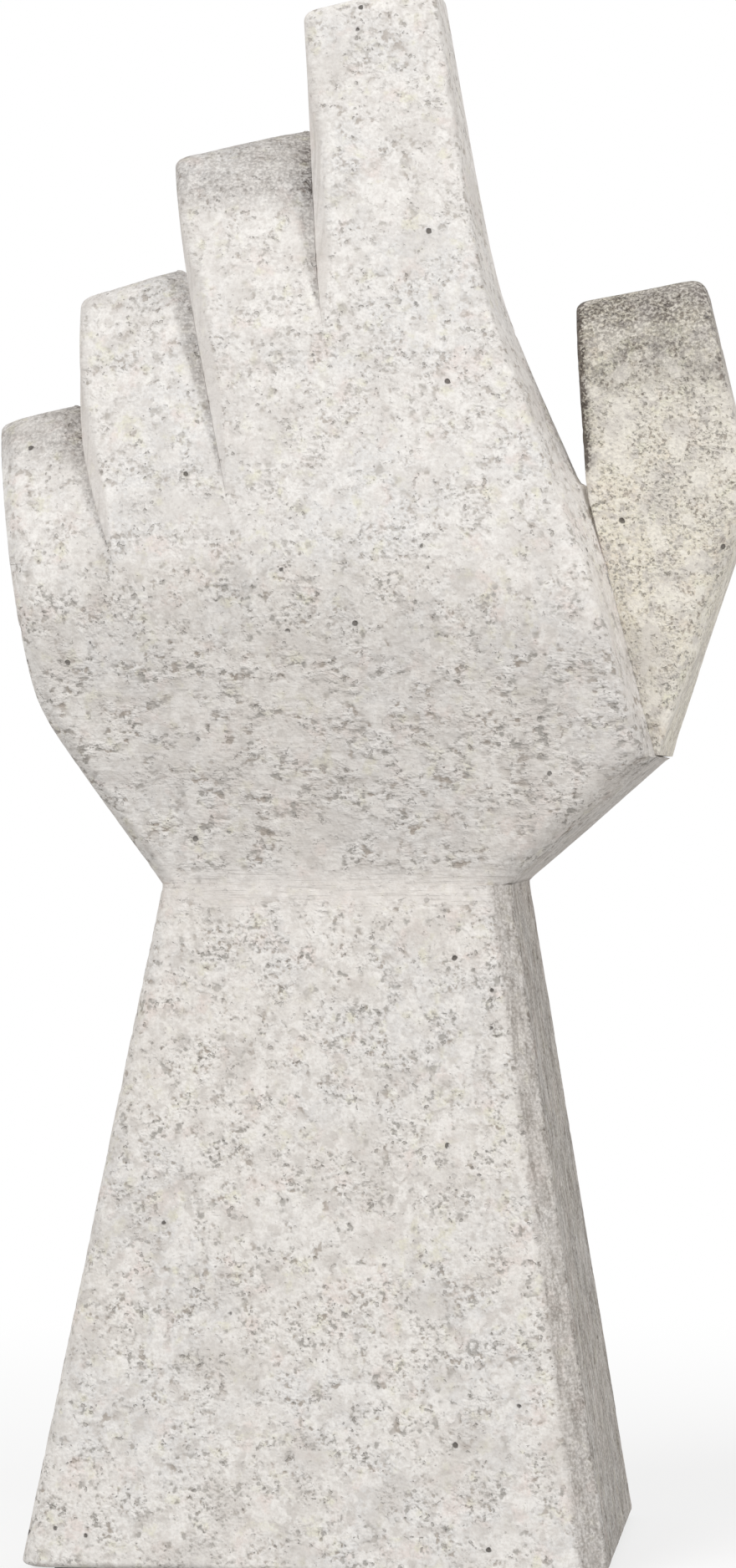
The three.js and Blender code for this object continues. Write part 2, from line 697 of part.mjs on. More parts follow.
hand.add(namedMesh("thumb", drilled(thumbGeometry(), thumbHoles), stoneMaterial(0xddd6cb)));

// The two large stones and the pad under them
hand.add(namedMesh("palm", drilled(palmGeometry(), palmHoles), stoneMaterial(0xcbc6c0)));
sculpture.add(namedMesh("forearm", drilled(forearmGeometry(), forearmHoles), stoneMaterial(0xd9d4ce)));
const padMaterial = new THREE.MeshStandardMaterial({ color: 0x4b4f4d, roughness: 1, metalness: 0 });
const padGeometry = sheetGeometry(forearmLoop(0, padInset), padThickness, []);
sculpture.add(namedMesh("base_pad", padGeometry, padMaterial));

export default sculpture;
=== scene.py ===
"""A stone hand standing on its forearm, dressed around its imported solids.

Seven cut stones stand on flush beds of filler, pinned with steel dowels, on a sheet of felt.
Sizes are in millimetres. Widths run along X, depths along Y with the back of the hand at -Y,
heights along Z. In the hand, heights count up from the palm's underside and widths from the
wrist's centre line; in the fingers, heights count up from the finger joint.
"""

import logging
import math
from collections.abc import Callable, Sequence
from dataclasses import dataclass, replace
from enum import Enum

import bpy
import numpy as np
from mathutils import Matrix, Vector, noise


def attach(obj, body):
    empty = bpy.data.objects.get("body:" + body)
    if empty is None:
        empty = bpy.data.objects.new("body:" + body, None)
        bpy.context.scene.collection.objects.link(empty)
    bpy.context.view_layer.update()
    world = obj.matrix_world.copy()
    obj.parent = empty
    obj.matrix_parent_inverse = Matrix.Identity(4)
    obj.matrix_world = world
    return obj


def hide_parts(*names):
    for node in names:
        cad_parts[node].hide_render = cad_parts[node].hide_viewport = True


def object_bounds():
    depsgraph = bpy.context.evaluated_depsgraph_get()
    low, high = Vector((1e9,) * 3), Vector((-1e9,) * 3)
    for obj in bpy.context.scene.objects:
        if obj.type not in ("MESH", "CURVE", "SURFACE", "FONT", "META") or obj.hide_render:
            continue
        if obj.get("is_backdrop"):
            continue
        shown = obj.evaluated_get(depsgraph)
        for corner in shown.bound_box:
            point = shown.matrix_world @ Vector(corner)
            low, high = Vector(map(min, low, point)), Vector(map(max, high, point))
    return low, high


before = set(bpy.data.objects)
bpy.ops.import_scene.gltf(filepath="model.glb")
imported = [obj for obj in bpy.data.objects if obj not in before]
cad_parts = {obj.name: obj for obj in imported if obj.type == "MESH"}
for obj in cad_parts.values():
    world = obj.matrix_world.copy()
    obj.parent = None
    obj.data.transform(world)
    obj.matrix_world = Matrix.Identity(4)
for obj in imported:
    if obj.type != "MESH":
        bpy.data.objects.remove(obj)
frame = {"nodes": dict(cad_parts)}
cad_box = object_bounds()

log = logging.getLogger("stone_hand")

Array = np.ndarray
Course = Callable[[Array], Array]
Span = tuple[float, float]
Tone = tuple[float, float, float]
Triple = tuple[float, float, float]
Socket = bpy.types.NodeSocket
Material = bpy.types.Material
Piece = bpy.types.Object

METRES_PER_MM = 0.001
BODY = "root"
OPAQUE = 1.0
WHITE = (1.0, 1.0, 1.0, OPAQUE)

# The screen's scale of light
SCREEN_FULL = 255
DARK_LIMIT = 0.04045
DARK_SLOPE = 12.92
SCREEN_LIFT = 0.055
SCREEN_POWER = 2.4

# Fineness of the stones' skins
POINT_SPACING = 1.1
FOREARM_SPACING = 1.35
LEAST_STEPS = 2
ARC_STEPS = 6
TIP_STEPS = 6
TOP_HOLE = 0.03
FILLET_SHARE = 0.45
LEAST_BEND = 0.1
NEAR_SHARE = 0.1
LEAST_LENGTH = 1e-9
SHARP_ANGLE = math.radians(50)

# Hairline left between stones and filler, so that no two faces share a place
HAIRLINE = 0.004

# Weather on the faces
SWELL_LENGTH = 34.0
SWELL_DEPTH = 0.22
RIPPLE_LENGTH = 8.0
RIPPLE_DEPTH = 0.16
GRAIN_LENGTH = 2.6
GRAIN_DEPTH = 0.10
PIT_SPACING = 7.5
PIT_LUCK = 0.1
LUCK_SCALE = 31.7
PIT_RADIUS = 0.8
PIT_GROWTH = 0.9
PIT_DEPTH = 0.55
CHIP_LENGTH = 3.2
CHIP_START = 0.2
CHIP_DEPTH = 0.8
EDGE_REACH = 1.2
EDGE_FADE_POWER = 6
JOINT_REACH = 2.0
FRONTWARD = (0.0, -1.0, 0.0)

# Random patterns in the finishes
NOISE_MIDDLE = 0.5
SHIFT_RATIO = (1.0, 0.7, 1.3)
PUSH_DETAIL = 3.0
SIDE_SPAN = (0.5, 0.7)

# Numbers of the colour sockets on a node that mixes
MIX_COLOURS = (6, 7)
MIX_RESULT = 2


class Slot(Enum):
    """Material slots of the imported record."""

    STONE = "stone"
    WARM_STONE = "warm_stone"
    FILLER = "joint_filler"
    STEEL = "dowel_steel"
    FELT = "pad_felt"


class Paint(Enum):
    """Shares that a stone's mesh carries for its finish."""

    # Share of darkening: weathered crust on the tips, and painted shade on faces turned from the light.
    WEATHER = "weather"
    SAWN = "sawn"
    # Painted shade: darkens faces that get less light, the palm's lower facet and the forearm towards the
    # wrist.
    DUST = "dust"
    PIT = "pit"


def tone(red: int, green: int, blue: int) -> Tone:
    """Linear light of a screen colour, given from 0 to 255."""
    return tuple(linear(channel / SCREEN_FULL) for channel in (red, green, blue))


def linear(value: float) -> float:
    """Linear light of one screen channel, given from 0 to 1."""
    lifted = (value + SCREEN_LIFT) / (1 + SCREEN_LIFT)
    return value / DARK_SLOPE if value <= DARK_LIMIT else lifted**SCREEN_POWER


def lerp(low: float | Array, high: float | Array, share: float | Array) -> float | Array:
    """Value between low and high at the given share."""
    return low + (high - low) * share


def smooth_share(low: float, high: float, value: float | Array) -> float | Array:
    """Share from 0 at low to 1 at high, with soft ends."""
    share = np.clip((value - low) / (high - low), 0, 1)
    return share * share * (3 - 2 * share)


def soft_max(first: float | Array, second: float | Array, softness: float) -> float | Array:
    """Larger of two values, rounded off where they are close."""
    return (first + second + np.hypot(first - second, softness)) / 2


def soft_min(first: float | Array, second: float | Array, softness: float) -> float | Array:
    """Smaller of two values, rounded off where they are close."""
    return (first + second - np.hypot(first - second, softness)) / 2


@dataclass(frozen=True)
class Corner:
    """One corner of a section, with what the side that leaves it is like.

    The run, where there is one, gives the depth of that side at each width. A hidden side
    lies in a joint, a sawn one is smooth, weather darkens it for weathering and for
    painted shade, and wear says how much the corner is chipped.
    """

    x: float
    y: float
    radius: float
    run: Course | None = None
    hidden: float = 0.0
    sawn: float = 0.0
    weather: float = 0.0
    wear: float = 1.0

    def spot(self) -> Array:
        """Place of the corner."""
        return np.array((self.x, self.y))

    def towards(self, other: "Corner", run: Course | None) -> Array:
        """Direction in which a side leaves this corner.

        Args:
            other: the corner at the side's other end.
            run: the side's course, or None where it is straight.

        Returns:
            The vector to the other corner, or to a near point of the course, as a unit vector
            times the distance of the two corners.
        """
        whole = other.spot() - self.spot()
        if run is None:
            return whole
        x = lerp(self.x, other.x, NEAR_SHARE)
        near = np.array((x, run(x))) - self.spot()
        return near / np.linalg.norm(near) * np.linalg.norm(whole)


@dataclass
class Section:
    """One closed line round a stone, counter-clockwise, with what lies at each of its points."""

    points: Array
    edge: Array
    hidden: Array
    sawn: Array
    weather: Array

    def from_left(self) -> Array:
        """Distance of each point from the section's left end."""
        return self.points[:, 0] - self.points[:, 0].min()

    def from_front(self) -> Array:
        """Distance of each point from the section's front end."""
        return self.points[:, 1] - self.points[:, 1].min()

    def heights(self, left: float, right: float) -> Array:
        """Height of each point of a section that rises evenly from its left to its right end."""
        widths = self.from_left()
        return lerp(left, right, widths / widths.max())


def side_counts(samples: Sequence[Sequence[Corner]], spacing: float) -> list[int]:
    """Finds how many steps each side of a stone's sections needs.

    Args:
        samples: some of the sections' corners, with the same number of corners each.
        spacing: the widest distance between two points.

    Returns:
        The number of steps for each side, in the order of the corners.
    """
    counts = []
    for i in range(len(samples[0])):
        lengths = []
        for corners in samples:
            here = corners[i].spot()
            there = corners[(i + 1) % len(corners)].spot()
            lengths.append(np.linalg.norm(there - here))
        counts.append(max(LEAST_STEPS, math.ceil(max(lengths) / spacing)))
    return counts


def bend_ends(before: Corner, corner: Corner, after: Corner) -> tuple[Array, Array]:
    """Finds where the rounding of a corner starts and ends.

    Args:
        before: the corner before it.
        corner: the corner.
        after: the corner after it.

    Returns:
        The start on the side from the corner before, and the end on the side to the one after.
    """
    back = corner.towards(before, before.run)
    ahead = corner.towards(after, corner.run)
    back_length, ahead_length = np.linalg.norm(back), np.linalg.norm(ahead)
    cosine = np.dot(back, ahead) / (back_length * ahead_length)
    turn = math.pi - math.acos(min(1.0, max(-1.0, cosine)))
    bend = max(corner.radius * math.tan(turn / 2), LEAST_BEND)
    tangent = min(bend, FILLET_SHARE * min(back_length, ahead_length))
    start = corner.spot() + back / back_length * tangent
    end = corner.spot() + ahead / ahead_length * tangent
    return start, end


def rounded_section(corners: Sequence[Corner], counts: Sequence[int]) -> Section:
    """Draws a section with rounded corners.

    Args:
        corners: the corners, counter-clockwise from the front left.
        counts: the number of steps along the side that leaves each corner.

    Returns:
        The section.
    """
    total = len(corners)
    threes = [(corners[i - 1], corners[i], corners[(i + 1) % total]) for i in range(total)]
    bends = [bend_ends(*three) for three in threes]
    points, edge = [], []
    shares = {"hidden": [], "sawn": [], "weather": []}
    round_bend = np.linspace(0, 1, ARC_STEPS + 1)
    share = round_bend[:, None]
    for i, (before, corner, after) in enumerate(threes):
        start, end = bends[i]
        finish = bends[(i + 1) % total][0]
        points.append((1 - share) ** 2 * start + 2 * share * (1 - share) * corner.spot() + share**2 * end)
        edge.append(np.full(len(round_bend), corner.wear))
        along = np.arange(1, counts[i]) / counts[i]
        side = lerp(end, finish, along[:, None])
        if corner.run is not None:
            side[:, 1] = corner.run(side[:, 0])
        length = np.linalg.norm(finish - end)
        from_start = np.exp(-along * length / EDGE_REACH) * corner.wear
        from_end = np.exp(-(1 - along) * length / EDGE_REACH) * after.wear
        points.append(side)
        edge.append(np.maximum(from_start, from_end))
        for name, values in shares.items():
            values.append(lerp(getattr(before, name), getattr(corner, name), round_bend))
            values.append(np.full(len(along), getattr(corner, name)))
    joined = {name: np.concatenate(values) for name, values in shares.items()}
    return Section(np.concatenate(points), np.concatenate(edge), **joined)


@dataclass
class Ring:
    """A section set in the model, with the shares that its stone carries there."""

    place: Array
    edge: Array
    hidden: Array
    sawn: Array
    weather: Array
    dust: Array

    def drawn_in(self, share: float) -> "Ring":
        """Draws the ring in towards its middle and keeps it in its plane.

        Args:
            share: how much of its size is left.

        Returns:
            The smaller ring.
        """
        middle = self.place.mean(axis=0)
        place = middle + (self.place - middle) * share
        still = np.zeros(len(place))
        return Ring(place, self.edge * share**EDGE_FADE_POWER, still, still, self.weather, self.dust)


def patchy(place: Vector, length: float) -> float:
    """Random value from 0 to 1 in soft patches of about the given length."""
    return 0.5 + 0.5 * noise.noise(place / length)


def worn(points: Array, edge: Array) -> tuple[Array, Array]:
    """Finds how far weather has worn faces in, and where it left pits.

    Args:
        points: places on the faces, in millimetres, one row each.
        edge: 1 on a rounded edge, falling to 0 on the faces beside it.

    Returns:
        The depth lost at each point, in millimetres, and the share of a pit there.
    """
    depth = np.empty(len(points))
    pits = np.zeros(len(points))
    for i, spot in enumerate(points.tolist()):
        place = Vector(spot)
        distances, centres = noise.voronoi(place / PIT_SPACING)
        luck = noise.cell(centres[0] * LUCK_SCALE)
        if luck > PIT_LUCK:
            radius = PIT_RADIUS + PIT_GROWTH * luck
            pits[i] = max(0.0, 1 - (distances[0] * PIT_SPACING / radius) ** 2)
        chip = max(0.0, noise.noise(place / CHIP_LENGTH) - CHIP_START) * edge[i]
        depth[i] = patchy(place, SWELL_LENGTH) * SWELL_DEPTH + patchy(place, RIPPLE_LENGTH) * RIPPLE_DEPTH
        depth[i] += patchy(place, GRAIN_LENGTH) * GRAIN_DEPTH
        depth[i] += pits[i] * PIT_DEPTH + chip * CHIP_DEPTH
    return depth, pits


def skin_normals(places: Array) -> Array:
    """Directions that point out of a skin, from its own grid and not from its flat ends.

    Args:
        places: the skin's points by level and by place round it.

    Returns:
        A unit vector for each point.
    """
    around = np.roll(places, -1, axis=1) - np.roll(places, 1, axis=1)
    upward = np.gradient(places, axis=0)
    out = np.cross(around, upward)
    length = np.linalg.norm(out, axis=2, keepdims=True)
    return out / np.maximum(length, LEAST_LENGTH)


def worn_points(rings: Sequence[Ring], flat_top: bool) -> tuple[Array, Array]:
    """Wears the faces of a skin. Ends that lie in a joint stay flat.

    Args:
        rings: the rings from the lower to the upper end.
        flat_top: whether the upper end lies in a joint, as the lower one always does.

    Returns:
        The worn points and the share of a pit at each of them.
    """
    places = np.stack([ring.place for ring in rings])
    edge = np.concatenate([ring.edge for ring in rings])
    hidden = np.concatenate([ring.hidden for ring in rings])[:, None]
    count = places.shape[1]
    points = places.reshape(-1, 3)
    depth, pits = worn(points, edge)
    front = places[:, :, 1].min(axis=1).repeat(count)[:, None]
    into_joint = np.exp(-(points[:, 1:2] - front) / JOINT_REACH)
    direction = skin_normals(places).reshape(-1, 3) * (1 - hidden)
    direction += np.array(FRONTWARD) * hidden * into_joint
    direction[:count, 2] = 0.0
    if flat_top:
        direction[-count:, 2] = 0.0
    return points - direction * depth[:, None], pits


def add_share(mesh: bpy.types.Mesh, paint: Paint, values: Array) -> None:
    """Stores a share on a mesh, one value for each point, for its finish to read."""
    attribute = mesh.attributes.new(paint.value, "FLOAT", "POINT")
    attribute.data.foreach_set("value", values.astype(np.float32))


def skin_faces(levels: int, count: int) -> list[tuple[int, ...]]:
    """Lists the faces of a closed skin.

    Args:
        levels: the number of rings.
        count: the number of points in a ring. Two more points close the lower and the upper end.

    Returns:
        The faces, as point numbers.
    """
    bottom, top = levels * count, levels * count + 1
    last = (levels - 1) * count
    faces: list[tuple[int, ...]] = []
    for level in range(levels - 1):
        low, high = level * count, (level + 1) * count
        for i in range(count):
            after = (i + 1) % count
            faces.append((low + i, low + after, high + after, high + i))
    for i in range(count):
        after = (i + 1) % count
        faces.append((bottom, after, i))
        faces.append((top, last + i, last + after))
    return faces


def make_skin(name: str, rings: Sequence[Ring], flat_top: bool) -> Piece:
    """Makes a closed, worn mesh over stacked rings.

    Args:
        name: the piece's name.
        rings: the rings from the lower to the upper end.
        flat_top: whether the upper end lies in a joint, as the lower one always does.

    Returns:
        The new object.
    """
    points, pits = worn_points(rings, flat_top)
    count = len(rings[0].place)
    middles = np.stack([points[:count].mean(axis=0), points[-count:].mean(axis=0)])
    corners = np.concatenate([points, middles]) * METRES_PER_MM
    mesh = bpy.data.meshes.new(name)
    mesh.from_pydata(corners.tolist(), [], skin_faces(len(rings), count))
    ends = [rings[0], rings[-1]]
    for paint in (Paint.WEATHER, Paint.SAWN, Paint.DUST):
        shares = [getattr(ring, paint.value) for ring in rings]
        shares += [getattr(ring, paint.value)[:1] for ring in ends]
        add_share(mesh, paint, np.concatenate(shares))
    add_share(mesh, Paint.PIT, np.concatenate([pits, np.zeros(len(ends))]))
    mesh.shade_smooth()
    mesh.set_sharp_from_angle(angle=SHARP_ANGLE)
    piece = bpy.data.objects.new(name, mesh)
    bpy.context.scene.collection.objects.link(piece)
    piece.modifiers.new("flat_faces", "WEIGHTED_NORMAL").keep_sharp = True
    return piece


def finger_rings(
    ring_at: Callable[[float, float, float], Ring], foot: float, left: float, right: float, radius: float,
) -> list[Ring]:
    """Stacks the rings of a finger, with a rounded and closed tip.

    Args:
        ring_at: gives the ring for the heights of its left and right side and for its inset.
        foot: height of the lower end.
        left: height of the tip's left side.
        right: height of the tip's right side.
        radius: the radius of the tip's upper edge.

    Returns:
        The rings, from the lower end to the middle of the tip.
    """
    shaft_left, shaft_right = left - radius, right - radius
    levels = math.ceil((shaft_right - foot) / POINT_SPACING)
    rings = []
    for share in np.linspace(0, 1, levels):
        rings.append(ring_at(lerp(foot, shaft_left, share), lerp(foot, shaft_right, share), 0.0))
    for step in range(1, TIP_STEPS + 1):
        angle = math.pi / 2 * step / TIP_STEPS
        drop = radius * (1 - math.sin(angle))
        rings.append(ring_at(left - drop, right - drop, radius * (1 - math.cos(angle))))
    flat = rings[-1]
    spread = np.ptp(flat.place, axis=0)
    steps = math.ceil(min(spread[0], spread[1]) / 2 / POINT_SPACING)
    for share in np.linspace(1, TOP_HOLE, steps)[1:]:
        rings.append(flat.drawn_in(float(share)))
    return rings


def settle(piece: Piece, nodes: Sequence[str], slot: Slot, finish: Material) -> None:
    """Dresses a piece and lets it stand for its solids.

    Args:
        piece: the new piece.
        nodes: the solids that it stands for.
        slot: not used.
        finish: its material.
    """
    piece.data.materials.append(finish)
    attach(piece, BODY)
    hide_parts(*nodes)
    log.info("%s: %d faces", piece.name, len(piece.data.polygons))


@dataclass(frozen=True)
class Clouds:
    """Soft random values, with a size in millimetres, finer layers and how strong those are.

    The shift moves the pattern, so that two of the same size differ.
    """

    size: float
    detail: float = 2.0
    roughness: float = 0.5
    shift: float = 0.0


@dataclass(frozen=True)
class Patches(Clouds):
    """Clouds cut into patches, with the values where a patch starts and where it is full."""

    start: float = 0.4
    full: float = 0.6
    strength: float = 1.0


@dataclass(frozen=True)
class Grains:
    """Scattered grains.

    They have a mean distance in millimetres, a chosen share of them shows, and their radius and
    soft edge are shares of the distance. Pushes of a size and reach in millimetres make their
    outlines uneven.
    """

    size: float
    chosen: float
    radius: float
    softness: float
    push_size: float
    push_reach: float


class Recipe:
    """A material's nodes, with short ways to add and join them."""

    def __init__(self, name: str) -> None:
        """Starts an empty material.

        Args:
            name: the material's name.
        """
        self.material = bpy.data.materials.new(name)
        self.material.use_nodes = True
        self.tree = self.material.node_tree
        self.tree.nodes.clear()
        self.place = self.add("ShaderNodeTexCoord").outputs["Object"]

    def add(self, kind: str, inputs: dict | None = None, **settings: object) -> bpy.types.Node:
        """Adds a node.

        Args:
            kind: Blender's name for the node.
            inputs: values or sockets for its inputs, by name or number.
            settings: the node's own settings.

        Returns:
            The node.
        """
        node = self.tree.nodes.new(kind)
        for key, value in settings.items():
            setattr(node, key, value)
        for key, value in (inputs or {}).items():
            if isinstance(value, Socket):
                self.tree.links.new(value, node.inputs[key])
            else:
                node.inputs[key].default_value = value
        return node

    def share(self, paint: Paint) -> Socket:
        """Share that the mesh carries."""
        return self.add("ShaderNodeAttribute", attribute_name=paint.value).outputs["Fac"]

    def calc(self, operation: str, *values: float | Socket) -> Socket:
        """Result of a calculation with the given values."""
        return self.add("ShaderNodeMath", dict(enumerate(values)), operation=operation).outputs[0]

    def plus(self, first: Socket, second: float | Socket) -> Socket:
        """Sum of two values."""
        return self.calc("ADD", first, second)

    def minus(self, first: float | Socket, second: float | Socket) -> Socket:
        """First value less the second."""
        return self.calc("SUBTRACT", first, second)

    def times(self, first: Socket, second: float | Socket) -> Socket:
        """Product of two values."""
        return self.calc("MULTIPLY", first, second)

    def ramp(self, share: Socket, gain: float, base: float) -> Socket:
        """Base value, with a gain in proportion to the share."""
        return self.plus(self.times(share, gain), base)

    def mix(self, share: Socket, low: Socket, high: Socket) -> Socket:
        """Value between low and high at the given share."""
        return self.plus(low, self.times(self.minus(high, low), share))

    def span(self, value: Socket, low: float, high: float) -> Socket:
        """Share from 0 where the value is at low to 1 where it is at high, with soft ends."""
        inputs = {"Value": value, "From Min": low, "From Max": high}
        return self.add("ShaderNodeMapRange", inputs, interpolation_type="SMOOTHSTEP").outputs[0]

    def sideways(self) -> Socket:
        """Finds the faces that look left or right.

        Returns:
            1 on them and 0 on the other faces.
        """
        normal = self.add("ShaderNodeNewGeometry").outputs["True Normal"]
        across = self.add("ShaderNodeSeparateXYZ", {0: normal}).outputs["X"]
        return self.span(self.calc("ABSOLUTE", across), *SIDE_SPAN)

    def blend(
        self, share: float | Socket, first: Tone | Socket, second: Tone | Socket, mode: str = "MIX",
    ) -> Socket:
        """Mixes two colours.

        Args:
            share: how much of the second colour is taken.
            first: the first colour.
            second: the second colour.
            mode: how the second colour acts on the first.

        Returns:
            The mixed colour.
        """
        inputs = {0: share}
        for number, colour in zip(MIX_COLOURS, (first, second)):
            inputs[number] = colour if isinstance(colour, Socket) else (*colour, OPAQUE)
        return self.add("ShaderNodeMix", inputs, data_type="RGBA", blend_type=mode).outputs[MIX_RESULT]

    def clouds(self, clouds: Clouds, scale: float = 1.0) -> Socket:
        """Adds soft random values.

        Args:
            clouds: what they are like.
            scale: makes them larger or smaller.

        Returns:
            A value of about 0.2 to 0.8.
        """
        location = tuple(clouds.shift * ratio for ratio in SHIFT_RATIO)
        place = self.add("ShaderNodeMapping", {"Vector": self.place, "Location": location}).outputs[0]
        inputs = {"Vector": place, "Scale": 1 / (METRES_PER_MM * clouds.size * scale)}
        inputs |= {"Detail": clouds.detail, "Roughness": clouds.roughness}
        return self.add("ShaderNodeTexNoise", inputs).outputs["Fac"]

    def patches(self, patches: Patches, scale: float = 1.0) -> Socket:
        """Adds soft random patches.

        Args:
            patches: what they are like.
            scale: makes them larger or smaller.

        Returns:
            Their strength on a patch and 0 beside it.
        """
        share = self.span(self.clouds(patches, scale), patches.start, patches.full)
        return share if patches.strength == 1.0 else self.times(share, patches.strength)

    def strokes(self, lengths: Triple, detail: float = 3.0, roughness: float = 0.6) -> Socket:
        """Adds random values that are drawn out into strokes.

        Args:
            lengths: the strokes' width, depth and height in millimetres.
            detail: how many finer layers they have.
            roughness: how strong the finer layers are.

        Returns:
            A value of about 0.2 to 0.8.
        """
        scale = tuple(1 / (METRES_PER_MM * length) for length in lengths)
        place = self.add("ShaderNodeMapping", {"Vector": self.place, "Scale": scale}).outputs[0]
        inputs = {"Vector": place, "Scale": 1.0, "Detail": detail, "Roughness": roughness}
        return self.add("ShaderNodeTexNoise", inputs).outputs["Fac"]

    def bent_place(self, size: float, reach: float) -> Socket:
        """Places pushed about at random, so that cells get uneven outlines.

        Args:
            size: the size of the pushes' pattern in millimetres.
            reach: how far they push, in millimetres.

        Returns:
            The coordinates.
        """
        pattern = {"Vector": self.place, "Scale": 1 / (METRES_PER_MM * size), "Detail": PUSH_DETAIL}
        pushes = self.add("ShaderNodeTexNoise", pattern).outputs["Color"]
        middle = (NOISE_MIDDLE, NOISE_MIDDLE, NOISE_MIDDLE)
        centred = self.add("ShaderNodeVectorMath", {0: pushes, 1: middle}, operation="SUBTRACT").outputs[0]
        sized = {0: centred, "Scale": 2 * reach * METRES_PER_MM}
        scaled = self.add("ShaderNodeVectorMath", sized, operation="SCALE").outputs[0]
        return self.add("ShaderNodeVectorMath", {0: self.place, 1: scaled}, operation="ADD").outputs[0]

    def grains(self, grains: Grains) -> Socket:
        """Adds scattered grains.

        Args:
            grains: what they are like.

        Returns:
            1 on a grain and 0 beside it.
        """
        place = self.bent_place(grains.push_size, grains.push_reach)
        scale = 1 / (METRES_PER_MM * grains.size)
        cells = self.add("ShaderNodeTexVoronoi", {"Vector": place, "Scale": scale}).outputs
        luck = self.add("ShaderNodeSeparateColor", {"Color": cells["Color"]}).outputs[0]
        shown = self.calc("LESS_THAN", luck, grains.chosen)
        inner = max(grains.radius - grains.softness, 0.0)
        return self.times(shown, self.span(cells["Distance"], grains.radius, inner))

    def surface(self, inputs: dict, relief: Socket, strength: float, distance: float) -> Material:
        """Ends the material in one shader with a relief.

        Args:
            inputs: the shader's values and sockets.
            relief: the height of the relief.
            strength: how strongly it shows.
            distance: its depth in millimetres.

        Returns:
            The material.
        """
        heights = {"Strength": strength, "Distance": distance * METRES_PER_MM, "Height": relief}
        normal = self.add("ShaderNodeBump", heights).outputs[0]
        return self.finish(self.add("ShaderNodeBsdfPrincipled", {**inputs, "Normal": normal}))

    def finish(self, shader: bpy.types.Node) -> Material:
        """Joins a shader to the material's surface.

        Args:
            shader: the last node of the recipe.

        Returns:
            The material.
        """
        output = self.add("ShaderNodeOutputMaterial")
        self.tree.links.new(shader.outputs[0], output.inputs["Surface"])
        return self.material


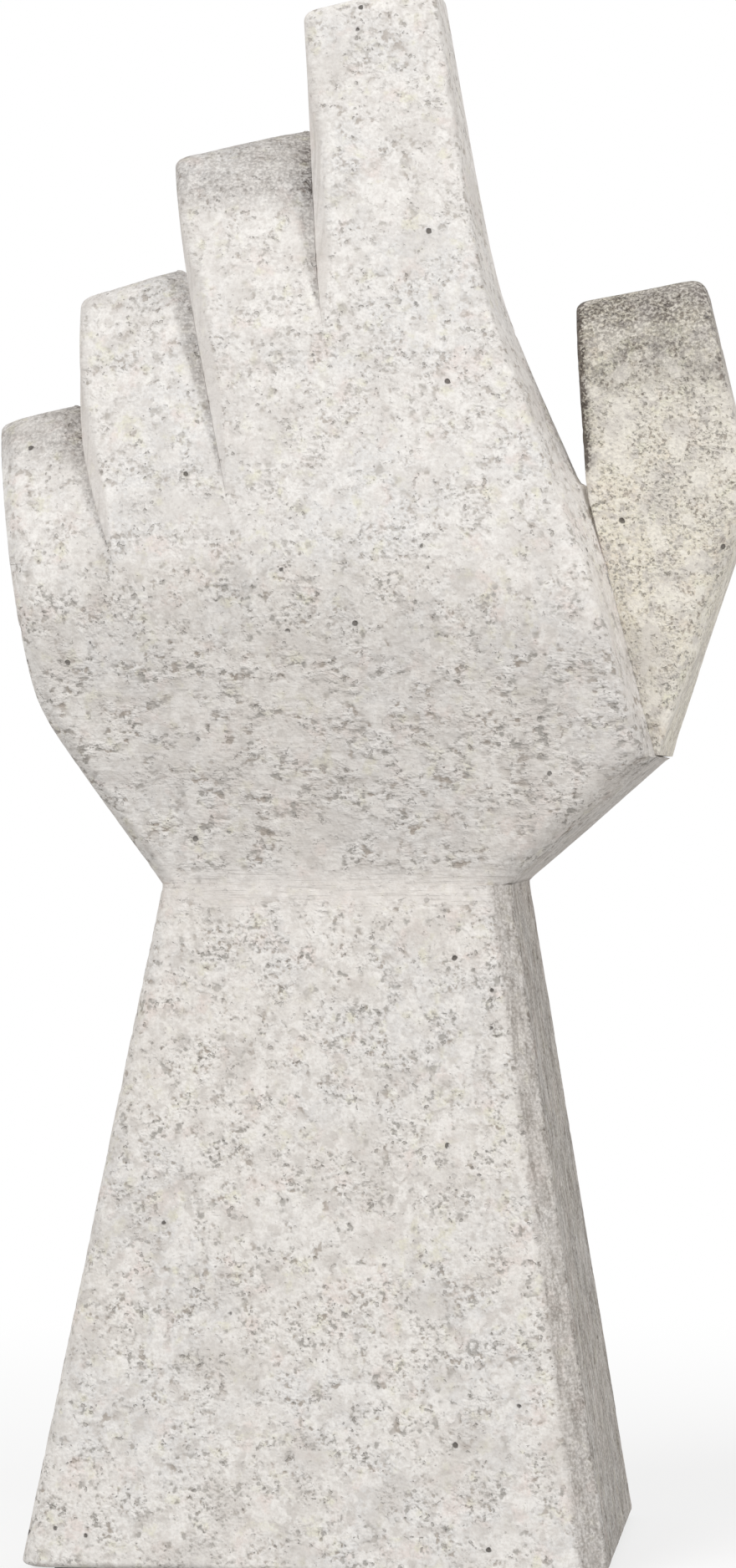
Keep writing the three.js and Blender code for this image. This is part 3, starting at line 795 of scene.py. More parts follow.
@dataclass(frozen=True)
class StoneFinish:
    """Pale crumbly stone: clouded ground, inclusions, dark crinkles with painted highlights and shade, sawn
    and weathered faces, and painted shade on faces turned from the light.
    """

    name: str
    ground: Tone = tone(234, 230, 225)
    cool: Tone = tone(228, 226, 224)
    rosy: Tone = tone(233, 221, 215)
    olive: Tone = tone(229, 226, 205)
    pale: Tone = tone(242, 239, 235)
    smoky: Tone = tone(202, 196, 190)
    # Tone that the painted shade multiplies into the ground.
    painted_shade_tone: Tone = tone(245, 243, 241)
    crinkle: Tone = tone(158, 154, 148)
    rust: Tone = tone(160, 149, 138)
    fleck: Tone = tone(150, 144, 136)
    spot: Tone = tone(78, 72, 66)
    sawn: Tone = tone(230, 224, 219)
    crust_and_shade_tone: Tone = tone(124, 116, 107)

    cool_patches: Patches = Patches(30.0, start=0.42, full=0.6)
    rosy_patches: Patches = Patches(8.0, 3.0, shift=0.31, start=0.54, full=0.68, strength=0.7)
    olive_patches: Patches = Patches(5.0, 3.0, shift=0.53, start=0.55, full=0.7, strength=0.7)
    mottle: Patches = Patches(0.9, 2.0, 0.6, 0.91, start=0.4, full=0.6, strength=0.36)
    dabs: Patches = Patches(2.2, 2.5, 0.65, 0.77, start=0.5, full=0.6, strength=0.45)
    smudges: Patches = Patches(4.0, 3.0, 0.6, 0.83, start=0.51, full=0.66)
    wide_smudges: Patches = Patches(15.0, 3.0, 0.6, 0.29, start=0.5, full=0.66, strength=0.8)
    smudging: float = 0.65

    pale_patches: Patches = Patches(7.0, 2.0, 0.45, 0.11, start=0.56, full=0.62)
    pale_chips: Grains = Grains(7.5, 0.24, 0.42, 0.1, 3.4, 3.0)
    pale_strength: float = 0.7
    plain_inclusions: float = 0.8
    plain_sawn: Span = (0.4, 0.9)

    grain: float = 1.0
    fine_crumbs: Clouds = Clouds(1.5, 1.6, 0.6, 0.37)
    coarse_crumbs: Clouds = Clouds(2.6, 2.2, 0.6, 0.43)
    coarse_patches: Patches = Patches(11.0, shift=0.67, start=0.47, full=0.57)
    flat_crumbs: Triple = (2.9, 2.9, 1.9)
    flat_detail: float = 2.4
    flat_contrast: float = 1.25
    flat_sawn: Span = (0.05, 0.25)

    crowd: Patches = Patches(9.0, 3.0, 0.6, 0.17, start=0.4, full=0.55)
    least_crowd: float = 0.2
    # Painted highlight on the crumbs' tops; the gaps between them take the crinkle stain and painted shade.
    crumb_highlight: Span = (0.5, 0.64)
    highlight_strength: float = 0.45
    gaps: Span = (0.47, 0.36)
    gap_share: float = 0.78
    flat_gap_share: float = 0.3
    rust_patches: Patches = Patches(5.0, shift=0.71, start=0.46, full=0.6)
    flecks: Patches = Patches(1.7, 2.0, 0.55, 0.61, start=0.63, full=0.71)
    fleck_strength: float = 0.14
    crowded_fleck_strength: float = 0.42
    spots: Grains = Grains(9.0, 0.42, 0.1, 0.04, 1.3, 0.4)
    spot_strength: float = 0.85
    pits: Span = (0.25, 0.95)
    pit_strength: float = 0.6

    strokes_across: Triple = (16.0, 16.0, 1.0)
    strokes_along: Triple = (2.2, 2.2, 60.0)
    combed: Span = (0.5, 0.66)
    combing: float = 0.6
    combed_strength: float = 0.8
    sawn_strength: float = 0.5

    darkening_patches: Patches = Patches(0.85, 2.0, 0.6, 0.47, start=0.38, full=0.6, strength=0.65)
    least_darkening: float = 0.35
    streaked: Span = (0.42, 0.6)
    streaking: float = 0.2
    side_streaking: float = 0.26
    blotches: Clouds = Clouds(7.0, shift=0.23)

    roughness: float = 0.9
    crumb_roughness: float = 0.16
    sheen: float = 0.25
    relief: float = 0.4
    crowded_relief: float = 1.6
    combed_relief: float = 0.25
    bump_strength: float = 1.0
    bump_distance: float = 0.6

    def ground_colour(self, recipe: Recipe, inclusions: Socket) -> Socket:
        """Clouds the ground, sets the pale inclusions in it and multiplies in the painted shade.

        Args:
            recipe: the material's nodes.
            inclusions: 1 on an inclusion and 0 beside it.

        Returns:
            The colour.
        """
        colour = recipe.blend(recipe.patches(self.cool_patches), self.ground, self.cool)
        colour = recipe.blend(recipe.patches(self.rosy_patches), colour, self.rosy)
        colour = recipe.blend(recipe.patches(self.olive_patches), colour, self.olive)
        colour = recipe.blend(recipe.times(inclusions, self.pale_strength), colour, self.pale)
        # Painted shade, multiplied into the ground.
        colour = recipe.blend(recipe.share(Paint.DUST), colour, self.painted_shade_tone, "MULTIPLY")
        colour = recipe.blend(recipe.patches(self.mottle), colour, self.smoky)
        return recipe.blend(recipe.patches(self.dabs), colour, self.pale)

    def crumbs(self, recipe: Recipe, sawn: Socket) -> Socket:
        """Crumbs of the stone: small in some places, coarse in others, flattened where it is sawn.

        Args:
            recipe: the material's nodes.
            sawn: how much of the face is sawn.

        Returns:
            A value that is high on a crumb and low between crumbs.
        """
        fine = recipe.clouds(self.fine_crumbs, self.grain)
        coarse = recipe.clouds(self.coarse_crumbs, self.grain)
        mixed = recipe.mix(recipe.patches(self.coarse_patches), fine, coarse)
        flat = recipe.strokes(self.flat_crumbs, self.flat_detail)
        lowered = NOISE_MIDDLE * (1 - self.flat_contrast)
        flat = recipe.calc("MULTIPLY_ADD", flat, self.flat_contrast, lowered)
        return recipe.mix(recipe.span(sawn, *self.flat_sawn), mixed, flat)

    def crumb_colour(
        self, recipe: Recipe, colour: Socket, crumbs: Socket, crowd: Socket, sawn: Socket,
    ) -> Socket:
        """Paints a highlight on the crumbs' tops, darkens the gaps between them with stain and painted
        shade, and smudges both.

        Args:
            recipe: the material's nodes.
            colour: the ground's colour.
            crumbs: high on a crumb and low between crumbs.
            crowd: how closely the crumbs are set.
            sawn: how much of the face is sawn.

        Returns:
            The colour.
        """
        # Painted highlight on the crumbs' tops.
        crumb_highlight = recipe.times(recipe.span(crumbs, *self.crumb_highlight), crowd)
        colour = recipe.blend(recipe.times(crumb_highlight, self.highlight_strength), colour, self.pale)
        # Gaps between crumbs: crinkle and rust stain, with painted shade in the hollows.
        gaps = recipe.times(recipe.span(crumbs, *self.gaps), crowd)
        stain_and_shade = recipe.blend(recipe.patches(self.rust_patches), self.crinkle, self.rust)
        flat = recipe.span(sawn, *self.flat_sawn)
        open_share = recipe.ramp(flat, self.flat_gap_share, self.gap_share)
        colour = recipe.blend(recipe.times(gaps, open_share), colour, stain_and_shade)
        wide = recipe.patches(self.wide_smudges)
        smudges = recipe.calc("MAXIMUM", recipe.patches(self.smudges), wide)
        return recipe.blend(recipe.times(smudges, self.smudging), colour, self.smoky)

    def darkening_share(self, recipe: Recipe, streaks: Socket) -> Socket:
        """Dark crust of weathered faces, and painted shade on faces turned from the light, with streaks in
        it.

        Args:
            recipe: the material's nodes.
            streaks: random streaks.

        Returns:
            How much of the stone the crust and the painted shade cover.
        """
        darkening_patches = recipe.plus(recipe.patches(self.darkening_patches), self.least_darkening)
        streaking = recipe.ramp(recipe.sideways(), self.side_streaking, self.streaking)
        streaked = recipe.times(recipe.span(streaks, *self.streaked), streaking)
        darkening_patches = recipe.plus(darkening_patches, streaked)
        blotches = recipe.plus(recipe.clouds(self.blotches), 1 - NOISE_MIDDLE)
        return recipe.times(darkening_patches, recipe.times(recipe.share(Paint.WEATHER), blotches))

    def make(self) -> Material:
        """Makes the material.

        Returns:
            The material.
        """
        recipe = Recipe(self.name)
        sawn = recipe.share(Paint.SAWN)
        chips = recipe.grains(self.pale_chips)
        inclusions = recipe.calc("MAXIMUM", recipe.patches(self.pale_patches), chips)
        plain = recipe.times(inclusions, self.plain_inclusions)
        plain = recipe.calc("MAXIMUM", plain, recipe.span(sawn, *self.plain_sawn))
        open_stone = recipe.minus(1.0, plain)
        crowd = recipe.ramp(recipe.patches(self.crowd), 1 - self.least_crowd, self.least_crowd)
        crowd = recipe.times(crowd, open_stone)
        crumbs = self.crumbs(recipe, sawn)
        colour = self.ground_colour(recipe, inclusions)
        colour = self.crumb_colour(recipe, colour, crumbs, crowd, sawn)

        fleck_share = recipe.ramp(crowd, self.crowded_fleck_strength, self.fleck_strength)
        flecks = recipe.times(recipe.patches(self.flecks, self.grain), fleck_share)
        colour = recipe.blend(flecks, colour, self.fleck)
        spots = recipe.times(recipe.grains(self.spots), open_stone)
        colour = recipe.blend(recipe.times(spots, self.spot_strength), colour, self.spot)
        pits = recipe.times(recipe.span(recipe.share(Paint.PIT), *self.pits), self.pit_strength)
        colour = recipe.blend(pits, colour, self.fleck)

        across, along = recipe.strokes(self.strokes_across), recipe.strokes(self.strokes_along)
        streaks = recipe.mix(recipe.sideways(), across, along)
        combed = recipe.times(recipe.span(streaks, *self.combed), recipe.times(sawn, self.combing))
        colour = recipe.blend(recipe.times(sawn, self.sawn_strength), colour, self.sawn)
        colour = recipe.blend(recipe.times(combed, self.combed_strength), colour, self.smoky)
        # Weathered crust and painted shade, multiplied in.
        colour = recipe.blend(self.darkening_share(recipe, streaks), colour, self.crust_and_shade_tone, "MULTIPLY")

        relief = recipe.minus(crumbs, NOISE_MIDDLE)
        relief = recipe.times(relief, recipe.ramp(crowd, self.crowded_relief, self.relief))
        relief = recipe.minus(relief, recipe.plus(flecks, spots))
        relief = recipe.minus(relief, recipe.times(combed, self.combed_relief))
        smoothest = self.roughness - self.crumb_roughness * NOISE_MIDDLE
        roughness = recipe.ramp(crumbs, self.crumb_roughness, smoothest)
        inputs = {"Base Color": colour, "Roughness": roughness, "Specular IOR Level": self.sheen}
        return recipe.surface(inputs, relief, self.bump_strength, self.bump_distance)


@dataclass(frozen=True)
class SteelFinish:
    """Brushed steel of the dowels, with turning marks round them."""

    name: str = "brushed_steel"
    bright: Tone = tone(190, 192, 194)
    dull: Tone = tone(150, 152, 154)
    marks: Triple = (14.0, 14.0, 0.3)
    dull_span: Span = (0.35, 0.65)
    roughness: float = 0.22
    mark_roughness: float = 0.25
    bump_strength: float = 0.2
    bump_distance: float = 0.1

    def make(self) -> Material:
        """Makes the material.

        Returns:
            The material.
        """
        recipe = Recipe(self.name)
        marks = recipe.strokes(self.marks)
        colour = recipe.blend(recipe.span(marks, *self.dull_span), self.bright, self.dull)
        roughness = recipe.ramp(marks, self.mark_roughness, self.roughness)
        inputs = {"Base Color": colour, "Metallic": 1.0, "Roughness": roughness}
        return recipe.surface(inputs, marks, self.bump_strength, self.bump_distance)


@dataclass(frozen=True)
class FeltFinish:
    """Pressed felt of the pad: matted fibres with lighter lint."""

    name: str = "pressed_felt"
    dark: Tone = tone(66, 70, 68)
    light: Tone = tone(98, 102, 99)
    lint: Tone = tone(140, 142, 138)
    fibres: Triple = (0.7, 0.5, 0.25)
    fibre_detail: float = 5.0
    fibre_roughness: float = 0.75
    light_span: Span = (0.35, 0.65)
    lint_grains: Grains = Grains(5.0, 0.3, 0.14, 0.06, 1.2, 0.8)
    lint_strength: float = 0.5
    fuzz: float = 0.3
    bump_strength: float = 0.7
    bump_distance: float = 0.4

    def make(self) -> Material:
        """Makes the material.

        Returns:
            The material.
        """
        recipe = Recipe(self.name)
        fibres = recipe.strokes(self.fibres, self.fibre_detail, self.fibre_roughness)
        colour = recipe.blend(recipe.span(fibres, *self.light_span), self.dark, self.light)
        lint = recipe.times(recipe.grains(self.lint_grains), self.lint_strength)
        colour = recipe.blend(lint, colour, self.lint)
        inputs = {"Base Color": colour, "Roughness": 1.0, "Sheen Weight": self.fuzz}
        return recipe.surface(inputs, fibres, self.bump_strength, self.bump_distance)


@dataclass(frozen=True)
class Forearm:
    """The tapering lower stone on its pad."""

    finish: Material
    pad_thickness: float = 2.0
    base_width: float = 163.0
    base_depth: float = 130.0
    base_edge_radius: float = 2.0
    length: float = 187.0
    corner_radius: float = 7.0
    back_radius: float = 12.0
    bevel: float = 7.5
    bevel_at_wrist: float = 5.5
    bevel_edge_radius: float = 3.0
    wrist_width: float = 98.7
    wrist_depth: float = 83.0
    wrist_shift: float = 3.5
    band_height: float = 9.0
    band_clear: float = 2.0
    # Painted shade on the forearm: little at the base, more towards the wrist.
    painted_shade_at_base: float = 0.05
    painted_shade_at_wrist: float = 0.8
    # Painted shade on the right bevel and side, which turn away from the key lamp; the crust's streaks run
    # in the side's shade.
    bevel_shade: float = 0.41
    bevel_sawn: float = 0.7
    side_shade: float = 0.54
    band_sawn: float = 0.75

    @property
    def top(self) -> float:
        """Height of the wrist joint's lower face."""
        return self.pad_thickness + self.length

    def corners(self, share: float, inset: float = 0.0) -> list[Corner]:
        """Corners of a section.

        Args:
            share: 0 at the base and 1 at the wrist.
            inset: how far the section is drawn in on all sides.

        Returns:
            The five corners, with a bevel on the right front edge; the bevel and the right side carry
            painted shade.
        """
        half_width = lerp(self.base_width, self.wrist_width, share) / 2 - inset
        half_depth = lerp(self.base_depth, self.wrist_depth, share) / 2 - inset
        bevel = lerp(self.bevel, self.bevel_at_wrist, share)
        left = self.wrist_shift * share - half_width
        right = self.wrist_shift * share + half_width
        radius = self.bevel_edge_radius
        return [
            Corner(left, -half_depth, self.corner_radius),
            Corner(right - bevel, -half_depth, radius, sawn=self.bevel_sawn, weather=self.bevel_shade),
            Corner(right, bevel - half_depth, radius, weather=self.side_shade),
            Corner(right, half_depth, self.back_radius),
            Corner(left, half_depth, self.back_radius),
        ]

    def ring(self, height: float, inset: float, counts: Sequence[int]) -> Ring:
        """One ring of the forearm.

        Args:
            height: height above the pad.
            inset: how far the ring is drawn in.
            counts: steps along each side.

        Returns:
            The ring.
        """
        share = height / self.length
        section = rounded_section(self.corners(share, inset), counts)
        total = len(section.points)
        place = np.column_stack([section.points, np.full(total, self.pad_thickness + height)])
        band = smooth_share(self.length - self.band_height, self.length - self.band_clear, height)
        sawn = np.maximum(section.sawn, float(band) * self.band_sawn)
        # Painted shade, growing towards the wrist.
        dust = np.full(total, lerp(self.painted_shade_at_base, self.painted_shade_at_wrist, share))
        return Ring(place, section.edge, section.hidden, sawn, section.weather, dust)

    def build(self) -> None:
        """Builds and dresses the stone."""
        counts = side_counts([self.corners(0.0)], FOREARM_SPACING)
        rings = []
        for step in range(TIP_STEPS):
            angle = math.pi / 2 * step / TIP_STEPS
            rise = HAIRLINE + self.base_edge_radius * (1 - math.cos(angle))
            inset = self.base_edge_radius * (1 - math.sin(angle))
            rings.append(self.ring(rise, inset, counts))
        levels = math.ceil(self.length / FOREARM_SPACING)
        for height in np.linspace(self.base_edge_radius, self.length, levels):
            rings.append(self.ring(height, 0.0, counts))
        settle(make_skin("forearm_stone", rings, True), ["forearm"], Slot.STONE, self.finish)


@dataclass(frozen=True)
class Palm:
    """The stone from the wrist to the knuckles, and the hand's own lines that its neighbours follow."""

    finish: Material
    forearm: Forearm
    bed_thickness: float = 1.0
    height: float = 89.0
    fineness_below_corner: float = 1.2
    left_flare: float = 0.7
    left_hip: float = 76.3
    left_lean: float = 0.15
    left_softness: float = 4.5
    right_flare: float = 1.15
    front_flare: float = 0.98
    corner_height: float = 35.5
    heel_flare: float = 0.4
    wrist_softness: float = 4.0
    back_slope: float = 0.479
    back_softness: float = 6.0
    roundness: float = 9.0
    outer_bevel: float = 4.5
    outer_bevel_at_wrist: float = 4.1
    side_edge_radius: float = 3.0
    flare_edge_radius: float = 11.0
    flare_fade: float = 15.0
    # Painted shade on the flare below the thumb, which faces right and down, and part of it on the free side
    # beside it.
    side_shade: float = 0.6
    flare_shade: float = 0.28
    flare_sawn: float = 0.2
    seat_back: float = 12.0
    knuckle_depth: float = 64.0
    knuckle_drop: float = 3.0
    knuckle_softness: float = 4.0
    crown_radius: float = 560.0
    crown_centre: float = -15.3
    finger_lean: float = 0.158
    strip_at_corner: float = 1.5
    strip_at_seat: float = 3.1
    crease_at_wrist: float = 17.0
    crease_radius: float = 0.01
    thumb_front: float = 40.0
    thumb_ledge: float = 1.5
    thumb_ledge_rise: float = 0.5
    thumb_slope: float = 0.257
    thumb_joint: float = 1.4
    joint_lip: float = 2.0
    free_lip: float = 8.0
    ledge_reach: float = 6.0
    band_height: float = 9.0
    band_clear: float = 2.0
    band_sawn: float = 0.75
    facet_sawn: float = 0.3
    facet_fade: Span = (0.55, 0.95)
    strip_sawn: float = 0.45
    # Painted shade on the palm's lower facet, which tilts down from the light; it fades out towards the left
    # hip, which faces the key lamp.
    painted_shade_full: float = 0.85
    painted_shade_lead: float = 4.0
    painted_shade_fade: float = 12.0
    hip_clear: float = 40.0

    @property
    def bottom(self) -> float:
        """Height of the palm's underside in the model."""
        return self.forearm.top + self.bed_thickness

    @property
    def half_width(self) -> float:
        """Half the width of the wrist."""
        return self.forearm.wrist_width / 2

    @property
    def half_depth(self) -> float:
        """Half the depth of the wrist."""
        return self.forearm.wrist_depth / 2

    @property
    def joint_half(self) -> float:
        """Half the width of the thumb's joint, level across."""
        return self.thumb_joint / 2 / math.cos(math.atan(self.thumb_slope))

    @property
    def ledge_height(self) -> float:
        """Height where the side has stepped in to the thumb's joint."""
        return self.corner_height + self.thumb_ledge_rise

    @property
    def ridge(self) -> float:
        """Height of the knuckles' ridge."""
        return self.height - self.knuckle_drop

    def above_hollow(self, height: float | Array) -> float | Array:
        """Height that counts slowly in the hollow over the wrist and evenly above it."""
        return height**2 / (height + self.wrist_softness)

    def thumb_plane(self, height: float) -> float:
        """Width of the plane of the thumb's joint."""
        corner = self.half_width + self.right_flare * self.corner_height
        return corner - self.thumb_ledge - self.thumb_slope * (height - self.corner_height)

    def upper_front(self, x: float | Array, height: float | Array) -> float | Array:
        """Depth of the back of the hand above the knuckles, with height counted from the finger joint."""
        crown = (x - self.crown_centre) ** 2 / (2 * self.crown_radius)
        return -self.knuckle_depth + height * self.finger_lean + crown

    def dust(self, heights: float | Array) -> float | Array:
        """Share of painted shade: all of it on the lower facet, which tilts down from the light, none above
        the knuckles.
        """
        clear = smooth_share(self.ridge - self.painted_shade_lead, self.ridge + self.painted_shade_fade, heights)
        return self.painted_shade_full * (1 - clear)

    def front(self, x: float | Array, height: float | Array) -> float | Array:
        """Depth of the palm's front face, which the fingers carry on.

        Args:
            x: width.
            height: height above the palm's underside.

        Returns:
            The depth.
        """
        reach = self.knuckle_depth + self.knuckle_drop * self.finger_lean - self.half_depth
        outlean = reach / self.above_hollow(self.ridge)
        lower = -(self.half_depth + outlean * self.above_hollow(height))
        return soft_max(lower, self.upper_front(x, height - self.height), self.knuckle_softness)

    def left(self, height: float) -> float:
        """Width of the little finger's side.

        Args:
            height: height above the palm's underside.

        Returns:
            The width.
        """
        lower = -(self.half_width + self.left_flare * height)
        upper = -(self.left_hip + self.left_lean * height)
        return soft_max(lower, upper, self.left_softness)

    def right(self, height: float) -> float:
        """Width of the thumb's side, which widens up to the corner and then follows the joint."""
        flared = self.half_width + self.right_flare * height
        return self.thumb_plane(height) - self.joint_half if height > self.corner_height else flared

    def front_edge(self, height: float) -> float:
        """Width of the edge between the front and the thumb's side.

        Args:
            height: height above the palm's underside.

        Returns:
            The width.
        """
        share = (height - self.corner_height) / (self.height - self.corner_height)
        strip = lerp(self.strip_at_corner, self.strip_at_seat, share)
        flared = self.half_width + self.front_flare * height
        return min(flared, self.thumb_plane(height) - self.joint_half - strip)

    def back(self, height: float) -> float:
        """Depth of the palm's back face.

        Args:
            height: height above the palm's underside.

        Returns:
            The depth.
        """
        heel = self.half_depth + self.heel_flare * height
        upper = self.seat_back + (self.height - height) * self.back_slope
        return soft_min(heel, upper, self.back_softness)

    def corners(self, height: float) -> list[Corner]:
        """Corners of a section.

        Args:
            height: height above the palm's underside.

        Returns:
            The eight corners, from the left front round to the left back.
        """
        share = height / self.height
        left, right, edge = self.left(height), self.right(height), self.front_edge(height)
        depth = self.back(height)
        up_flare = min(1.0, height / self.corner_height)
        crease = -lerp(self.crease_at_wrist, self.thumb_front, up_flare)
        near_ledge = float(smooth_share(self.corner_height - self.ledge_reach, self.corner_height, height))
        crease_radius = lerp(self.forearm.corner_radius, self.crease_radius, near_ledge)
        past_corner = float(smooth_share(self.corner_height, self.corner_height + self.flare_fade, height))
        edge_radius = lerp(self.flare_edge_radius, self.side_edge_radius, past_corner)
        # Painted shade on the flare, fading out above the corner.
        weather = self.flare_shade * (1 - past_corner)
        roundness = lerp(self.forearm.back_radius, self.roundness, share)
        bevel = lerp(self.outer_bevel_at_wrist, self.outer_bevel, share)
        shoulder = left + bevel
        on_joint = float(height > self.corner_height)
        sawn = lerp(self.flare_sawn, self.strip_sawn, on_joint)

        def run(x: float | Array) -> float | Array:
            """Depth of the front face at this height."""
            return self.front(x, height)

        return [
            Corner(left, run(left) + bevel, bevel),
            Corner(shoulder, run(shoulder), bevel, run=run),
            Corner(edge, run(edge), edge_radius, sawn=sawn, weather=weather),
            *self.joint_lip_corners(right, crease, on_joint, crease_radius, weather * self.side_shade),
            Corner(right, depth, roundness),
            Corner(left, depth, roundness),
        ]

    def joint_lip_corners(
        self, right: float, crease: float, on_joint: float, radius: float, weather: float = 0.0,
    ) -> list[Corner]:
        """Corners of the lip that covers the front of the thumb's joint.

        Args:
            right: width of the side.
            crease: depth of the side's front end.
            on_joint: 1 where the side lies on the joint and 0 where it is free.
            radius: the rounding of the side's front end.
            weather: painted shade on the side where it is free, below the thumb.

        Returns:
            The corners, from the lip's front to the joint behind it.
        """
        outer = right + (2 * self.joint_half - HAIRLINE) * on_joint
        back = crease + lerp(self.free_lip, self.joint_lip, on_joint)
        finish = {"hidden": on_joint, "weather": weather * (1 - on_joint), "wear": 0.0}
        return [
            Corner(outer, crease, radius, **finish),
            Corner(outer, back, self.crease_radius, **finish),
            Corner(right, back + HAIRLINE, self.crease_radius, **finish),
        ]

    def place(self, points: Array, heights: Array) -> Array:
        """Sets points of the hand in the model.

        Args:
            points: widths and depths.
            heights: heights above the palm's underside.

        Returns:
            Places in the model, in millimetres.
        """
        widths = points[:, 0] + self.forearm.wrist_shift
        return np.column_stack([widths, points[:, 1], heights + self.bottom])

    def ring(self, height: float, counts: Sequence[int]) -> Ring:
        """One ring of the palm.

        Args:
            height: height above the palm's underside.
            counts: steps along each side.

        Returns:
            The ring.
        """
        section = rounded_section(self.corners(height), counts)
        widths = section.points[:, 0]
        place = self.place(section.points, np.full(len(widths), height))
        band = self.band_sawn * (1 - smooth_share(self.band_clear, self.band_height, height))
        fade_start, fade_end = (self.height * share for share in self.facet_fade)
        facet = self.facet_sawn * (1 - smooth_share(fade_start, fade_end, height))
        sawn = np.maximum(section.sawn, max(band, facet))
        # Painted shade, fading out towards the left side.
        dust = self.dust(height) * smooth_share(0.0, self.hip_clear, widths - self.left(height))
        hidden = section.hidden
        if self.corner_height <= height <= self.ledge_height:
            side = self.right(self.ledge_height)
            hidden = np.maximum(hidden, smooth_share(side - self.ledge_reach, side, widths))
        return Ring(place, section.edge, hidden, sawn, section.weather, dust)

    def build(self) -> None:
        """Builds and dresses the stone."""
        levels = (0.0, self.corner_height, self.ledge_height, self.height)
        counts = side_counts([self.corners(height) for height in levels], POINT_SPACING)
        steps_below = math.ceil(self.corner_height / POINT_SPACING * self.fineness_below_corner)
        steps_above = math.ceil((self.height - self.ledge_height) / POINT_SPACING)
        lower = np.linspace(0.0, self.corner_height, steps_below)
        upper = np.linspace(self.ledge_height, self.height, steps_above)
        rings = [self.ring(height, counts) for height in np.concatenate([lower, upper])]
        settle(make_skin("palm_stone", rings, True), ["palm"], Slot.STONE, self.finish)


@dataclass(frozen=True)
class Seam:
    """Line between two fingers. Above the groove's start the right one stands prouder."""

    seat: float
    splay: float
    knee: float
    above: float
    groove_start: float
    groove_lean: float
    end: float
    softness: float = 12.0
    wall_share: float = 1.5
    wall_widest: float = 4.4
    wall_above_tip: float = 1.6
    tip_reach: float = 12.0

    def at(self, height: float) -> float:
        """Width of the line at a height above the finger joint."""
        past_knee = soft_max(0.0, height - self.knee, self.softness)
        return self.seat - self.splay * height + (self.splay - self.above) * past_knee

    def depth(self, height: float) -> float:
        """How far the right finger stands in front of the left one."""
        return self.groove_lean * max(0.0, height - self.groove_start)

    def wall(self, height: float, least: float) -> float:
        """Width of the wall that the right finger turns to the groove.

        Args:
            height: height above the finger joint.
            least: the least width.

        Returns:
            The width.
        """
        wall = float(np.clip(self.depth(height) * self.wall_share, least, self.wall_widest))
        past_tip = float(smooth_share(self.end - self.tip_reach, self.end + self.tip_reach, height))
        return lerp(wall, min(wall, self.wall_above_tip), past_tip)


@dataclass(frozen=True)
class Tip:
    """Heights of a fingertip's two sides and of its bend, its depth and how dark it has weathered."""

    left: float
    right: float
    bend: float
    depth: float
    weather: float
    weather_lead: float = 2.0
    weather_reach: float = 8.0


